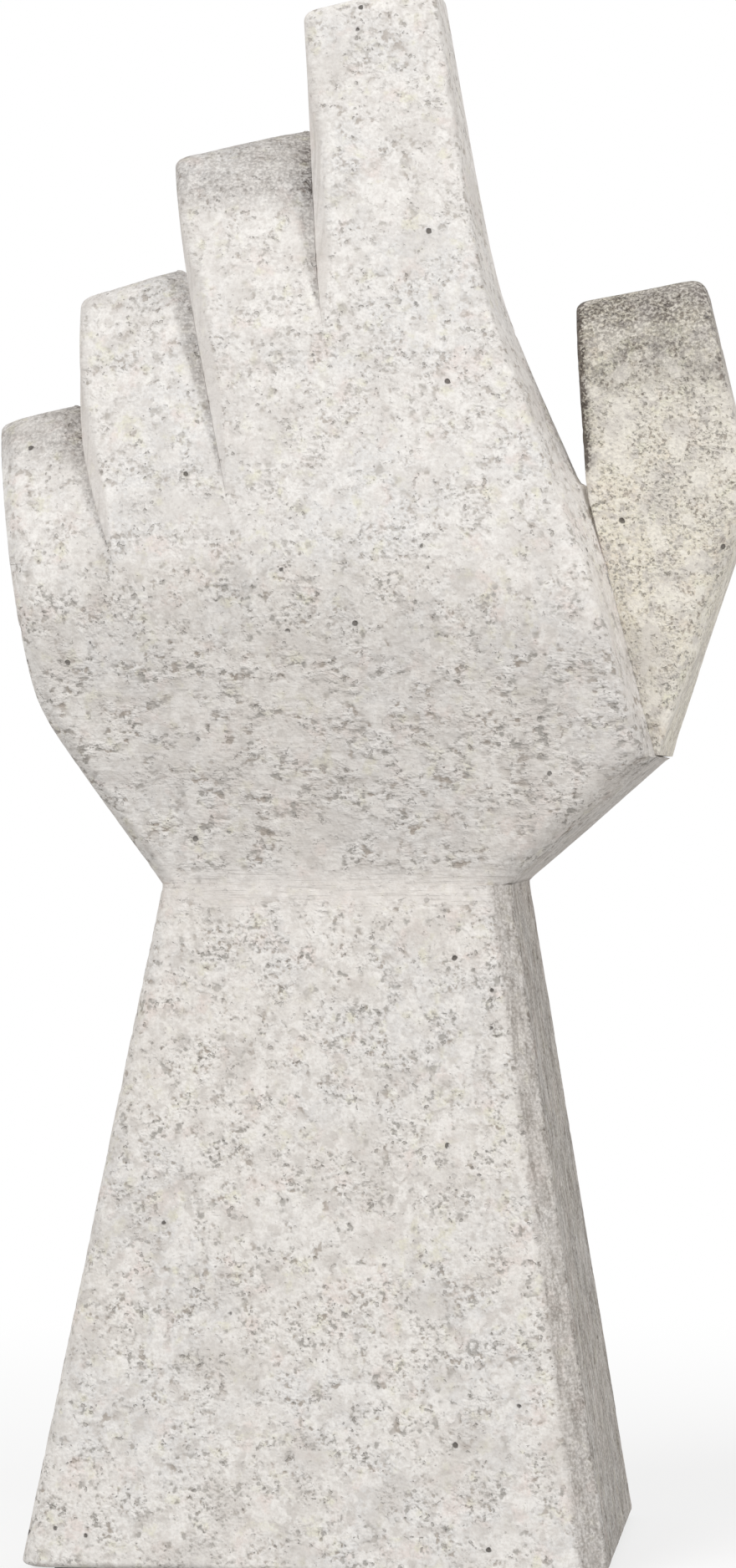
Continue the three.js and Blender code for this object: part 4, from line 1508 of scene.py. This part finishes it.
@dataclass(frozen=True)
class Finger:
    """One finger's stone on its bed."""

    name: str
    finish: Material
    palm: Palm
    tip: Tip
    left_seam: Seam | None
    right_seam: Seam | None
    proud: tuple[Seam, ...]
    tip_radius: float = 3.5
    tip_bend_radius: float = 27.0
    roundness: float = 6.0
    groove_shown: Span = (0.2, 1.5)
    groove_edge_radius: float = 7.0
    wall_edge_radius: float = 4.0
    wall_edge_share: float = 0.6
    wall_sawn: float = 0.9
    wall_wear: float = 0.4
    seat_edge_radius: float = 0.6
    front_seam_radius: float = 0.01
    flank_share: float = 0.3
    flank_slope: float = 0.35
    # Painted shade on the flank that slopes into the groove and turns away from the key lamp.
    flank_shade: float = 0.42
    flank_wear: float = 0.3
    # Painted shadow that the prouder right neighbour casts on the tip, near the front right corner.
    corner_shade: float = 1.3
    corner_reach: float = 4.0
    corner_depth: float = 14.0
    thumb_notch: float = 23.0
    strip_at_notch: float = 7.5
    strip_at_tip: float = 0.6
    crease_at_tip: float = 10.0
    flare: float = 0.46
    waist: float = 75.0
    taper: float = 0.185
    side_softness: float = 4.0
    side_lean: float = 0.2
    side_run: float = 6.0
    side_edge_radius: float = 1.2

    def side(self, height: float) -> float:
        """Width of the thumb's side: on the joint up to the notch, then a flare into the shaft.

        Args:
            height: height above the finger joint.

        Returns:
            The width.
        """
        palm = self.palm
        joint = palm.thumb_plane(palm.height + height) - palm.joint_half
        notch = palm.thumb_plane(palm.height + self.thumb_notch) - palm.joint_half
        flare = notch - self.flare * (height - self.thumb_notch)
        shaft = notch - self.flare * (self.waist - self.thumb_notch) - self.taper * (height - self.waist)
        return min(joint, soft_max(flare, shaft, self.side_softness))

    def strip(self, height: float) -> float:
        """Width of the strip between the front and the thumb's side.

        Args:
            height: height above the finger joint.

        Returns:
            The width.
        """
        if height < self.thumb_notch:
            return lerp(self.palm.strip_at_seat, self.strip_at_notch, height / self.thumb_notch)
        share = (height - self.thumb_notch) / (self.tip.right - self.thumb_notch)
        return lerp(self.strip_at_notch, self.strip_at_tip, math.sqrt(share))

    def left(self, height: float) -> float:
        """Width of the left side.

        Args:
            height: height above the finger joint.

        Returns:
            The width.
        """
        if self.left_seam is None:
            return self.palm.left(self.palm.height + height)
        return self.left_seam.at(height) + HAIRLINE / 2

    def right(self, height: float) -> float:
        """Width of the right side.

        Args:
            height: height above the finger joint.

        Returns:
            The width.
        """
        if self.right_seam is None:
            return self.side(height)
        return self.right_seam.at(height) - HAIRLINE / 2

    def front(self, x: float | Array, height: float | Array) -> float | Array:
        """Depth of the front, set back by every groove on its right and bending back at the tip.

        Args:
            x: width.
            height: height above the finger joint.

        Returns:
            The depth.
        """
        grooves = sum(seam.depth(float(np.mean(height))) for seam in self.proud)
        bend = np.maximum(0.0, height - self.tip.bend) ** 2 / (2 * self.tip_bend_radius)
        return self.palm.front(x, self.palm.height + height) + grooves + bend

    def back(self, height: float) -> float:
        """Depth of the back.

        Args:
            height: height above the finger joint.

        Returns:
            The depth.
        """
        tip_height = (self.tip.left + self.tip.right) / 2
        middle = (self.left(tip_height) + self.right(tip_height)) / 2
        tip_back = self.front(middle, tip_height) + self.tip.depth
        return lerp(self.palm.seat_back, tip_back, height / tip_height)

    def crease(self, height: float) -> float:
        """Depth where the thumb's side starts."""
        return -lerp(self.palm.thumb_front, self.crease_at_tip, height / self.tip.left)

    def left_corners(self, left: float, height: float, run: Course) -> list[Corner]:
        """Corners of the left front edge: a wall to the groove, or a bevel on the outermost finger.

        Args:
            left: width of the left side.
            height: its height.
            run: depth of the front at each width.

        Returns:
            The two corners.
        """
        if self.left_seam is None:
            bevel = self.palm.outer_bevel
            shoulder = left + bevel
            front = run(shoulder)
            return [Corner(left, front + bevel, bevel), Corner(shoulder, front, bevel, run=run)]
        groove = self.left_seam.depth(height)
        depth = max(self.front_seam_radius, groove * (1 + self.flank_share))
        shoulder = left + self.left_seam.wall(height, self.front_seam_radius)
        radius = float(np.clip(groove * self.wall_edge_share, self.front_seam_radius, self.wall_edge_radius))
        shown = float(smooth_share(*self.groove_shown, groove))
        front = run(shoulder)
        return [
            Corner(left, front + depth, radius, hidden=1.0, sawn=self.wall_sawn * shown, wear=0.0),
            Corner(shoulder, front, radius, run=run, wear=self.wall_wear * shown),
        ]

    def groove_corners(self, right: float, height: float, run: Course) -> list[Corner]:
        """Corners of the right front edge, which slopes down into the groove.

        Args:
            right: width of the right side.
            height: its height.
            run: depth of the front at each width.

        Returns:
            The two corners.
        """
        opening = self.right_seam.depth(height)
        flank = max(self.front_seam_radius, self.flank_share * opening)
        edge = right - flank / self.flank_slope
        shown = float(smooth_share(*self.groove_shown, opening))
        # Painted shade on the flank, growing as the groove opens.
        weather, wear = self.flank_shade * shown, self.flank_wear * shown
        return [
            Corner(edge, run(edge), self.groove_edge_radius, weather=weather, wear=wear),
            Corner(right, run(right) + flank, self.front_seam_radius, hidden=1.0, wear=0.0),
        ]

    def thumb_side_corners(
        self, right: float, height: float, left_height: float, depth: float, run: Course,
    ) -> list[Corner]:
        """Corners of the side that is turned to the thumb.

        Args:
            right: width of the side.
            height: its height.
            left_height: height of the section's left side.
            depth: depth of the back.
            run: depth of the front at each width.

        Returns:
            The five corners, from the front to the back.
        """
        edge = right - self.strip(height)
        crease = self.crease(left_height)
        back_radius = lerp(self.palm.roundness, self.roundness, left_height / self.tip.left)
        on_joint = float(height < self.thumb_notch)
        radius = lerp(self.side_edge_radius, self.palm.crease_radius, on_joint)
        lean = self.side_lean * float(np.clip((height - self.thumb_notch) / self.side_run, 0, 1))
        corners = [Corner(edge, run(edge), self.palm.side_edge_radius, sawn=self.palm.strip_sawn)]
        for lip in self.palm.joint_lip_corners(right, crease, on_joint, radius):
            corners.append(replace(lip, x=lip.x - lean * (lip.y - crease)))
        corners.append(Corner(right - lean * (depth - crease), depth, back_radius))
        return corners

    def corners(self, left_height: float, right_height: float, inset: float) -> list[Corner]:
        """Corners of one section.

        Args:
            left_height: height of the section's left side.
            right_height: height of its right side.
            inset: how far it is drawn in on all sides.

        Returns:
            The corners.
        """
        left = self.left(left_height) + inset
        right = self.right(right_height) - inset
        back_radius = lerp(self.seat_edge_radius, self.roundness, left_height / self.tip.left)
        depth = self.back((left_height + right_height) / 2) - inset

        def run(x: float | Array) -> float | Array:
            """Depth of the front along this section."""
            height = lerp(left_height, right_height, (x - left) / (right - left))
            return self.front(x, height) + inset

        corners = self.left_corners(left, left_height, run)
        if self.right_seam is None:
            corners += self.thumb_side_corners(right, right_height, left_height, depth, run)
        else:
            corners += self.groove_corners(right, right_height, run)
            corners.append(Corner(right, depth, back_radius))
        if self.left_seam is None:
            corners.append(Corner(left, depth, self.palm.roundness))
        else:
            corners.append(Corner(left, depth, back_radius, hidden=1.0, wear=0.0))
        return corners

    def ring(self, left_height: float, right_height: float, inset: float, counts: Sequence[int]) -> Ring:
        """One ring of the finger.

        Args:
            left_height: height of its left side.
            right_height: height of its right side.
            inset: how far it is drawn in.
            counts: steps along each side.

        Returns:
            The ring.
        """
        section = rounded_section(self.corners(left_height, right_height, inset), counts)
        heights = section.heights(left_height, right_height)
        place = self.palm.place(section.points, heights + self.palm.height)
        start, full = self.tip.bend - self.tip.weather_lead, self.tip.bend + self.tip.weather_reach
        weather = self.tip.weather * smooth_share(start, full, heights)
        # Painted shadow near the front right corner, where the prouder neighbour shades the tip.
        if self.right_seam is not None:
            widths = section.from_left()
            in_front = 1 - smooth_share(self.corner_depth / 2, self.corner_depth, section.from_front())
            beside = np.exp((widths - widths.max()) / self.corner_reach)
            weather = weather * (1 + self.corner_shade * in_front * beside)
        weather = np.maximum(weather, section.weather)
        # The palm's painted shade, carried onto the finger's foot.
        dust = self.palm.dust(self.palm.height + heights)
        return Ring(place, section.edge, section.hidden, section.sawn, weather, dust)

    def build(self) -> None:
        """Builds and dresses the stone and its bed."""
        tip, low = self.tip, self.palm.bed_thickness
        shaft = (tip.left - self.tip_radius, tip.right - self.tip_radius)
        counts = side_counts([self.corners(low, low, 0.0), self.corners(*shaft, 0.0)], POINT_SPACING)

        def ring_at(left_height: float, right_height: float, inset: float) -> Ring:
            """Ring of this finger."""
            return self.ring(left_height, right_height, inset, counts)

        rings = finger_rings(ring_at, low, tip.left, tip.right, self.tip_radius)
        stone = make_skin(f"{self.name}_finger_stone", rings, False)
        settle(stone, [f"{self.name}_finger"], Slot.STONE, self.finish)
        bed = [ring_at(height, height, 0.0) for height in (HAIRLINE, low - HAIRLINE)]
        filler = make_skin(f"{self.name}_filler", bed, True)
        settle(filler, [f"{self.name}_bed"], Slot.FILLER, self.finish)


@dataclass(frozen=True)
class Thumb:
    """The thumb's stone, of a warmer tone, on its slanted bed."""

    finish: Material
    filler: Material
    index: Finger
    palm: Palm
    foot_gap: float = HAIRLINE
    notch: float = 23.0
    notch_lead: float = 4.0
    notch_lag: float = 2.0
    foot_width: float = 1.2
    width: float = 47.0
    knuckle_height: float = 108.4
    knuckle_softness: float = 3.0
    taper: float = 0.235
    inner_taper: float = 0.065
    back_setback: float = 1.5
    back_softness: float = 6.0
    tip_depth: float = 44.0
    tip_left: float = 163.5
    tip_right: float = 169.0
    tip_radius: float = 3.5
    bend_height: float = 142.0
    bend_radius: float = 27.0
    bevel: float = 2.5
    tip_edge_radius: float = 4.0
    foot_edge_radius: float = 10.0
    edge_change: float = 10.0
    side_sawn: float = 0.6
    roundness: float = 9.0
    weather_start: float = 132.0
    weather_full: float = 147.0
    weather_ragged: float = 9.0
    weather_patch: float = 5.0
    tip_weather: float = 0.58
    top_weather: float = 0.82
    # Painted shade on the inner front edge, in the notch beside the index finger.
    inner_edge_shade: float = 4.0
    edge_rise: float = 6.0
    edge_reach: float = 1.4
    edge_depth: float = 4.0
    deep_share: float = 0.12
    filler_counts: tuple[int, ...] = (3, 24, 3, 24)
    filler_levels: int = 60

    @property
    def bottom(self) -> float:
        """Height of the foot."""
        return self.palm.ledge_height + self.foot_gap

    @property
    def notch_height(self) -> float:
        """Height where index finger and thumb part."""
        return self.palm.height + self.notch

    def left(self, height: float) -> float:
        """Width of the inner side, which lies on the joint up to the notch."""
        on_joint = self.palm.thumb_plane(min(height, self.notch_height)) + self.palm.joint_half
        return on_joint - self.inner_taper * max(0.0, height - self.notch_height)

    def right(self, height: float) -> float:
        """Width of the outer side.

        Args:
            height: height above the palm's underside.

        Returns:
            The width.
        """
        palm = self.palm
        knuckle = palm.thumb_plane(self.knuckle_height) + self.width
        foot = palm.thumb_plane(self.bottom) + palm.joint_half + self.foot_width
        flare = (knuckle - foot) / (self.knuckle_height - self.bottom)
        lower = knuckle + flare * (height - self.knuckle_height)
        upper = knuckle - self.taper * (height - self.knuckle_height)
        return soft_min(lower, upper, self.knuckle_softness)

    def ball(self, height: float) -> float:
        """Depth of the thumb's ball, which follows the palm's back."""
        return soft_max(self.palm.back(height), self.palm.seat_back, self.back_softness) - self.back_setback

    def bend(self, height: float) -> float:
        """How far the tip has bent back at a height."""
        return max(0.0, height - self.bend_height) ** 2 / (2 * self.bend_radius)

    def corners(self, left_height: float, right_height: float, inset: float) -> list[Corner]:
        """Corners of one section.

        Args:
            left_height: height of the section's left side.
            right_height: height of its right side.
            inset: how far it is drawn in on all sides.

        Returns:
            The four corners.
        """
        palm = self.palm
        left, right = self.left(left_height) + inset, self.right(right_height) - inset
        height = (left_height + right_height) / 2
        share = float(np.clip((height - palm.height) / (self.tip_left - palm.height), 0, 1))
        front = self.bend(height) - palm.thumb_front + inset
        depth = lerp(self.ball(height), self.tip_depth - palm.thumb_front, share) - inset
        notch = self.notch_height
        free = float(smooth_share(notch - self.notch_lead, notch + self.notch_lag, height))
        above = float(smooth_share(palm.height, self.knuckle_height + self.edge_change, height))
        edge_radius = lerp(self.foot_edge_radius, self.tip_edge_radius, above)
        return [
            Corner(left, front, lerp(HAIRLINE, self.bevel, free), wear=free),
            Corner(right, front, edge_radius, sawn=self.side_sawn * above),
            Corner(right, depth, self.roundness),
            Corner(left, depth, self.bevel, hidden=1.0 - free, wear=free),
        ]

    def weather(self, section: Section, heights: Array, place: Array) -> Array:
        """Finds how dark the stone is: a ragged weathered tip, and painted shade on the inner front edge in
        the notch beside the index finger.

        Args:
            section: the section.
            heights: the heights of its points.
            place: the places of its points in the model.

        Returns:
            The share of weathering and painted shade at each point.
        """
        patches = [noise.noise(Vector(spot) / self.weather_patch) for spot in place.tolist()]
        ragged = heights + np.array(patches) * self.weather_ragged
        up_tip = smooth_share(self.weather_full, self.tip_left, heights)
        tip = smooth_share(self.weather_start, self.weather_full, ragged)
        tip = tip * lerp(self.tip_weather, self.top_weather, up_tip)
        # Painted shade on the inner front edge above the notch, deepest at the front.
        free = smooth_share(self.notch_height, self.notch_height + self.edge_rise, heights)
        inner = free * np.exp(-section.from_left() / self.edge_reach)
        inner *= lerp(self.deep_share, 1.0, np.exp(-section.from_front() / self.edge_depth))
        return np.maximum(tip, self.inner_edge_shade * inner)

    def ring(self, left_height: float, right_height: float, inset: float, counts: Sequence[int]) -> Ring:
        """One ring of the thumb.

        Args:
            left_height: height of its left side.
            right_height: height of its right side.
            inset: how far it is drawn in.
            counts: steps along each side.

        Returns:
            The ring.
        """
        section = rounded_section(self.corners(left_height, right_height, inset), counts)
        heights = section.heights(left_height, right_height)
        place = self.palm.place(section.points, heights)
        weather = self.weather(section, heights, place)
        on_ledge = 1 - smooth_share(self.bottom, self.bottom + self.palm.ledge_reach, heights)
        edge = section.edge * (1 - on_ledge)
        hidden = np.maximum(section.hidden, on_ledge)
        return Ring(place, edge, hidden, section.sawn, weather, np.zeros(len(place)))

    def filler_ring(self, height: float) -> Ring:
        """One ring of the joint's filler, behind the lip that covers the joint's front.

        Args:
            height: height above the palm's underside.

        Returns:
            The ring.
        """
        palm = self.palm
        low = palm.thumb_plane(height) - palm.joint_half + HAIRLINE
        high = palm.thumb_plane(height) + palm.joint_half - HAIRLINE
        front = self.index.crease(max(0.0, height - palm.height)) + palm.joint_lip + 2 * HAIRLINE
        depth = min(self.ball(height), max(palm.back(height), palm.seat_back))
        corners = [
            Corner(low, front, HAIRLINE),
            Corner(high, front, HAIRLINE, hidden=1.0),
            Corner(high, depth, HAIRLINE),
            Corner(low, depth, HAIRLINE, hidden=1.0),
        ]
        section = rounded_section(corners, self.filler_counts)
        still = np.zeros(len(section.points))
        place = palm.place(section.points, still + height)
        return Ring(place, still, section.hidden, still + palm.strip_sawn, still, still)

    def build(self) -> None:
        """Builds and dresses the stone and its bed."""
        heights = (self.bottom, self.palm.height, self.tip_left - self.tip_radius)
        counts = side_counts([self.corners(height, height, 0.0) for height in heights], POINT_SPACING)

        def ring_at(left_height: float, right_height: float, inset: float) -> Ring:
            """Ring of the thumb."""
            return self.ring(left_height, right_height, inset, counts)

        rings = finger_rings(ring_at, self.bottom, self.tip_left, self.tip_right, self.tip_radius)
        settle(make_skin("thumb_stone", rings, False), ["thumb"], Slot.WARM_STONE, self.finish)
        joint = np.linspace(self.bottom, self.notch_height - POINT_SPACING, self.filler_levels)
        filler = make_skin("thumb_filler", [self.filler_ring(height) for height in joint], True)
        settle(filler, ["thumb_bed"], Slot.FILLER, self.filler)


@dataclass(frozen=True)
class WristBed:
    """Filler between forearm and palm, struck flush."""

    finish: Material
    forearm: Forearm
    thickness: float = 1.0

    def build(self) -> None:
        """Builds and dresses the bed."""
        counts = side_counts([self.forearm.corners(1.0)], POINT_SPACING)
        rings = []
        for rise in (HAIRLINE, self.thickness - HAIRLINE):
            ring = self.forearm.ring(self.forearm.length, 0.0, counts)
            ring.place[:, 2] += rise
            rings.append(ring)
        settle(make_skin("wrist_filler", rings, True), ["wrist_bed"], Slot.FILLER, self.finish)


@dataclass(frozen=True)
class Fixings:
    """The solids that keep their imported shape: dowels and pad."""

    steel: Material
    felt: Material
    nodes: dict[str, Piece]
    pad: str = "base_pad"
    dowel_mark: str = "dowel"

    def dress(self) -> None:
        """Gives each kept solid its finish."""
        for name, node in self.nodes.items():
            if name == self.pad:
                self.wrap(node, self.felt)
            elif self.dowel_mark in name:
                self.wrap(node, self.steel)

    def wrap(self, node: Piece, finish: Material) -> None:
        """Puts one finish on a solid.

        Args:
            node: the solid.
            finish: its material.
        """
        for place in node.material_slots:
            place.material = finish
        log.info("%s: dressed in %s", node.name, finish.name)


@dataclass(frozen=True)
class Studio:
    """Floor, light and camera."""

    camera_place: Triple = (163.2, -1358.3, 218.0)
    camera_turn: float = 6.5
    lens: float = 109.38
    sensor: float = 36.0
    floor_size: float = 6000.0
    key_place: Triple = (-1064.0, -1526.0, 2068.0)
    lamp_aim: Triple = (0.0, 0.0, 220.0)
    key_size: float = 1260.0
    key_power: float = 31.5
    fill_place: Triple = (1500.0, -900.0, 760.0)
    fill_size: float = 1200.0
    fill_power: float = 12.2
    ambient: float = 0.525
    ambient_tone: Tone = (1.0, 0.995, 0.985)
    floor_tone: Tone = (0.6, 0.6, 0.6)
    floor_seen: Tone = (0.9, 0.9, 0.9)
    floor_glow: float = 0.72
    shadow_reach: Span = (150.0, 620.0)

    def seen_share(self, tree: bpy.types.NodeTree) -> Socket:
        """Adds a value that is 1 for rays that show a surface to the eye and 0 for light that it sends on.

        Args:
            tree: the nodes that it is added to.

        Returns:
            The value's socket.
        """
        rays = tree.nodes.new("ShaderNodeLightPath").outputs
        total = rays["Is Camera Ray"]
        for name in ("Is Glossy Ray", "Is Transmission Ray"):
            most = tree.nodes.new("ShaderNodeMath")
            most.operation = "MAXIMUM"
            tree.links.new(total, most.inputs[0])
            tree.links.new(rays[name], most.inputs[1])
            total = most.outputs[0]
        return total

    def make_floor(self) -> None:
        """Lays a pale floor that keeps the hand's shadow."""
        half = self.floor_size * METRES_PER_MM / 2
        mesh = bpy.data.meshes.new("floor")
        corners = [(-half, -half, 0), (half, -half, 0), (half, half, 0), (-half, half, 0)]
        mesh.from_pydata(corners, [], [(0, 1, 2, 3)])
        floor = bpy.data.objects.new("floor", mesh)
        bpy.context.scene.collection.objects.link(floor)
        recipe = Recipe("pale_floor")
        shaded = recipe.add("ShaderNodeBsdfDiffuse", {"Color": (*self.floor_seen, OPAQUE)})
        glow = recipe.add("ShaderNodeEmission", {"Color": WHITE, "Strength": 1.0})
        distance = recipe.add("ShaderNodeVectorMath", {0: recipe.place}, operation="LENGTH").outputs["Value"]
        near, far = (length * METRES_PER_MM for length in self.shadow_reach)
        white = recipe.ramp(recipe.span(distance, near, far), 1 - self.floor_glow, self.floor_glow)
        seen = recipe.add("ShaderNodeMixShader", {0: white, 1: shaded.outputs[0], 2: glow.outputs[0]})
        plain = recipe.add("ShaderNodeBsdfDiffuse", {"Color": (*self.floor_tone, OPAQUE)})
        share = self.seen_share(recipe.tree)
        mixed = recipe.add("ShaderNodeMixShader", {0: share, 1: plain.outputs[0], 2: seen.outputs[0]})
        mesh.materials.append(recipe.finish(mixed))
        floor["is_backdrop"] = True

    def make_world(self) -> None:
        """Lights the room evenly and shows it white."""
        world = bpy.data.worlds.new("bright_room")
        bpy.context.scene.world = world
        world.use_nodes = True
        tree = world.node_tree
        tree.nodes.clear()
        light = tree.nodes.new("ShaderNodeBackground")
        light.inputs["Color"].default_value = (*self.ambient_tone, OPAQUE)
        light.inputs["Strength"].default_value = self.ambient
        white = tree.nodes.new("ShaderNodeBackground")
        white.inputs["Color"].default_value = WHITE
        mixed = tree.nodes.new("ShaderNodeMixShader")
        output = tree.nodes.new("ShaderNodeOutputWorld")
        tree.links.new(self.seen_share(tree), mixed.inputs[0])
        tree.links.new(light.outputs[0], mixed.inputs[1])
        tree.links.new(white.outputs[0], mixed.inputs[2])
        tree.links.new(mixed.outputs[0], output.inputs["Surface"])

    def hang_lamp(self, name: str, place: Triple, size: float, power: float) -> None:
        """Hangs one large soft lamp that is aimed at the hand.

        Args:
            name: the lamp's name.
            place: where it hangs, in millimetres.
            size: its width in millimetres.
            power: its power in watts.
        """
        lamp = bpy.data.lights.new(name, "AREA")
        lamp.shape = "DISK"
        lamp.size = size * METRES_PER_MM
        lamp.energy = power
        holder = bpy.data.objects.new(name, lamp)
        holder.location = Vector(place) * METRES_PER_MM
        holder.rotation_euler = (Vector(self.lamp_aim) - Vector(place)).to_track_quat("-Z", "Y").to_euler()
        bpy.context.scene.collection.objects.link(holder)

    def make_camera(self) -> None:
        """Sets the camera level, a little to the right of the hand's middle."""
        data = bpy.data.cameras.new("camera")
        data.lens = self.lens
        data.sensor_width = self.sensor
        camera = bpy.data.objects.new("camera", data)
        camera.location = Vector(self.camera_place) * METRES_PER_MM
        camera.rotation_euler = (math.pi / 2, 0.0, math.radians(self.camera_turn))
        bpy.context.scene.collection.objects.link(camera)
        bpy.context.scene.camera = camera

    def build(self) -> None:
        """Builds the whole studio."""
        bpy.context.scene.view_settings.view_transform = "Standard"
        self.make_camera()
        self.make_floor()
        self.make_world()
        self.hang_lamp("key", self.key_place, self.key_size, self.key_power)
        self.hang_lamp("fill", self.fill_place, self.fill_size, self.fill_power)


PALE_STONE = StoneFinish("pale_stone")
FINGER_STONE = StoneFinish(
    "finger_stone",
    ground=tone(231, 227, 223),
    crinkle=tone(176, 171, 164),
    fleck=tone(164, 158, 150),
    crust_and_shade_tone=tone(127, 122, 121),
    gap_share=0.62,
    smudging=0.45,
    side_streaking=0.1,
)
WARM_STONE = StoneFinish(
    "warm_stone",
    ground=tone(230, 223, 206),
    cool=tone(223, 217, 205),
    rosy=tone(230, 218, 202),
    pale=tone(240, 235, 225),
    fleck=tone(146, 138, 126),
    crust_and_shade_tone=tone(122, 117, 116),
    grain=0.75,
    crowd=replace(PALE_STONE.crowd, start=0.22, full=0.48),
    flecks=replace(PALE_STONE.flecks, start=0.61, full=0.69),
    streaking=0.0,
    side_streaking=0.0,
)

INDEX_TIP = Tip(left=155.5, right=163.5, bend=152.0, depth=42.0, weather=0.0)
MIDDLE_TIP = Tip(left=116.0, right=124.5, bend=97.5, depth=40.0, weather=0.42)
RING_TIP = Tip(left=76.0, right=84.0, bend=67.0, depth=42.0, weather=0.15)
LITTLE_TIP = Tip(left=41.5, right=46.0, bend=26.0, depth=42.0, weather=0.33)
INDEX_SEAM = Seam(
    seat=12.2, splay=0.219, knee=73.0, above=0.082,
    groove_start=64.0, groove_lean=0.145, end=MIDDLE_TIP.right,
)
MIDDLE_SEAM = Seam(
    seat=-23.3, splay=0.229, knee=85.0, above=0.17,
    groove_start=18.0, groove_lean=0.105, end=RING_TIP.right,
)
RING_SEAM = Seam(
    seat=-59.3, splay=0.37, knee=33.0, above=0.045,
    groove_start=0.0, groove_lean=0.15, end=LITTLE_TIP.right,
)
SEAMS = (INDEX_SEAM, MIDDLE_SEAM, RING_SEAM)


def main() -> None:
    """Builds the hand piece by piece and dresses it."""
    logging.basicConfig(level=logging.INFO, format="%(name)s: %(message)s")
    stone, finger_stone, warm_stone = (finish.make() for finish in (PALE_STONE, FINGER_STONE, WARM_STONE))
    steel, felt = SteelFinish().make(), FeltFinish().make()

    Studio().build()
    forearm = Forearm(stone)
    palm = Palm(stone, forearm)
    fingers = [
        Finger("index", finger_stone, palm, INDEX_TIP, INDEX_SEAM, None, ()),
        Finger("middle", finger_stone, palm, MIDDLE_TIP, MIDDLE_SEAM, INDEX_SEAM, SEAMS[:1]),
        Finger("ring", finger_stone, palm, RING_TIP, RING_SEAM, MIDDLE_SEAM, SEAMS[:2]),
        Finger("little", finger_stone, palm, LITTLE_TIP, None, RING_SEAM, SEAMS),
    ]
    thumb = Thumb(warm_stone, stone, fingers[0], palm)
    for part in [forearm, WristBed(stone, forearm), palm, *fingers, thumb]:
        part.build()
    Fixings(steel, felt, frame["nodes"]).dress()

    boxes = {"cad": cad_box, "visual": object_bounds()}
    {name: [list(corner) for corner in box] for name, box in boxes.items()}


if __name__ == "__main__":
    main()
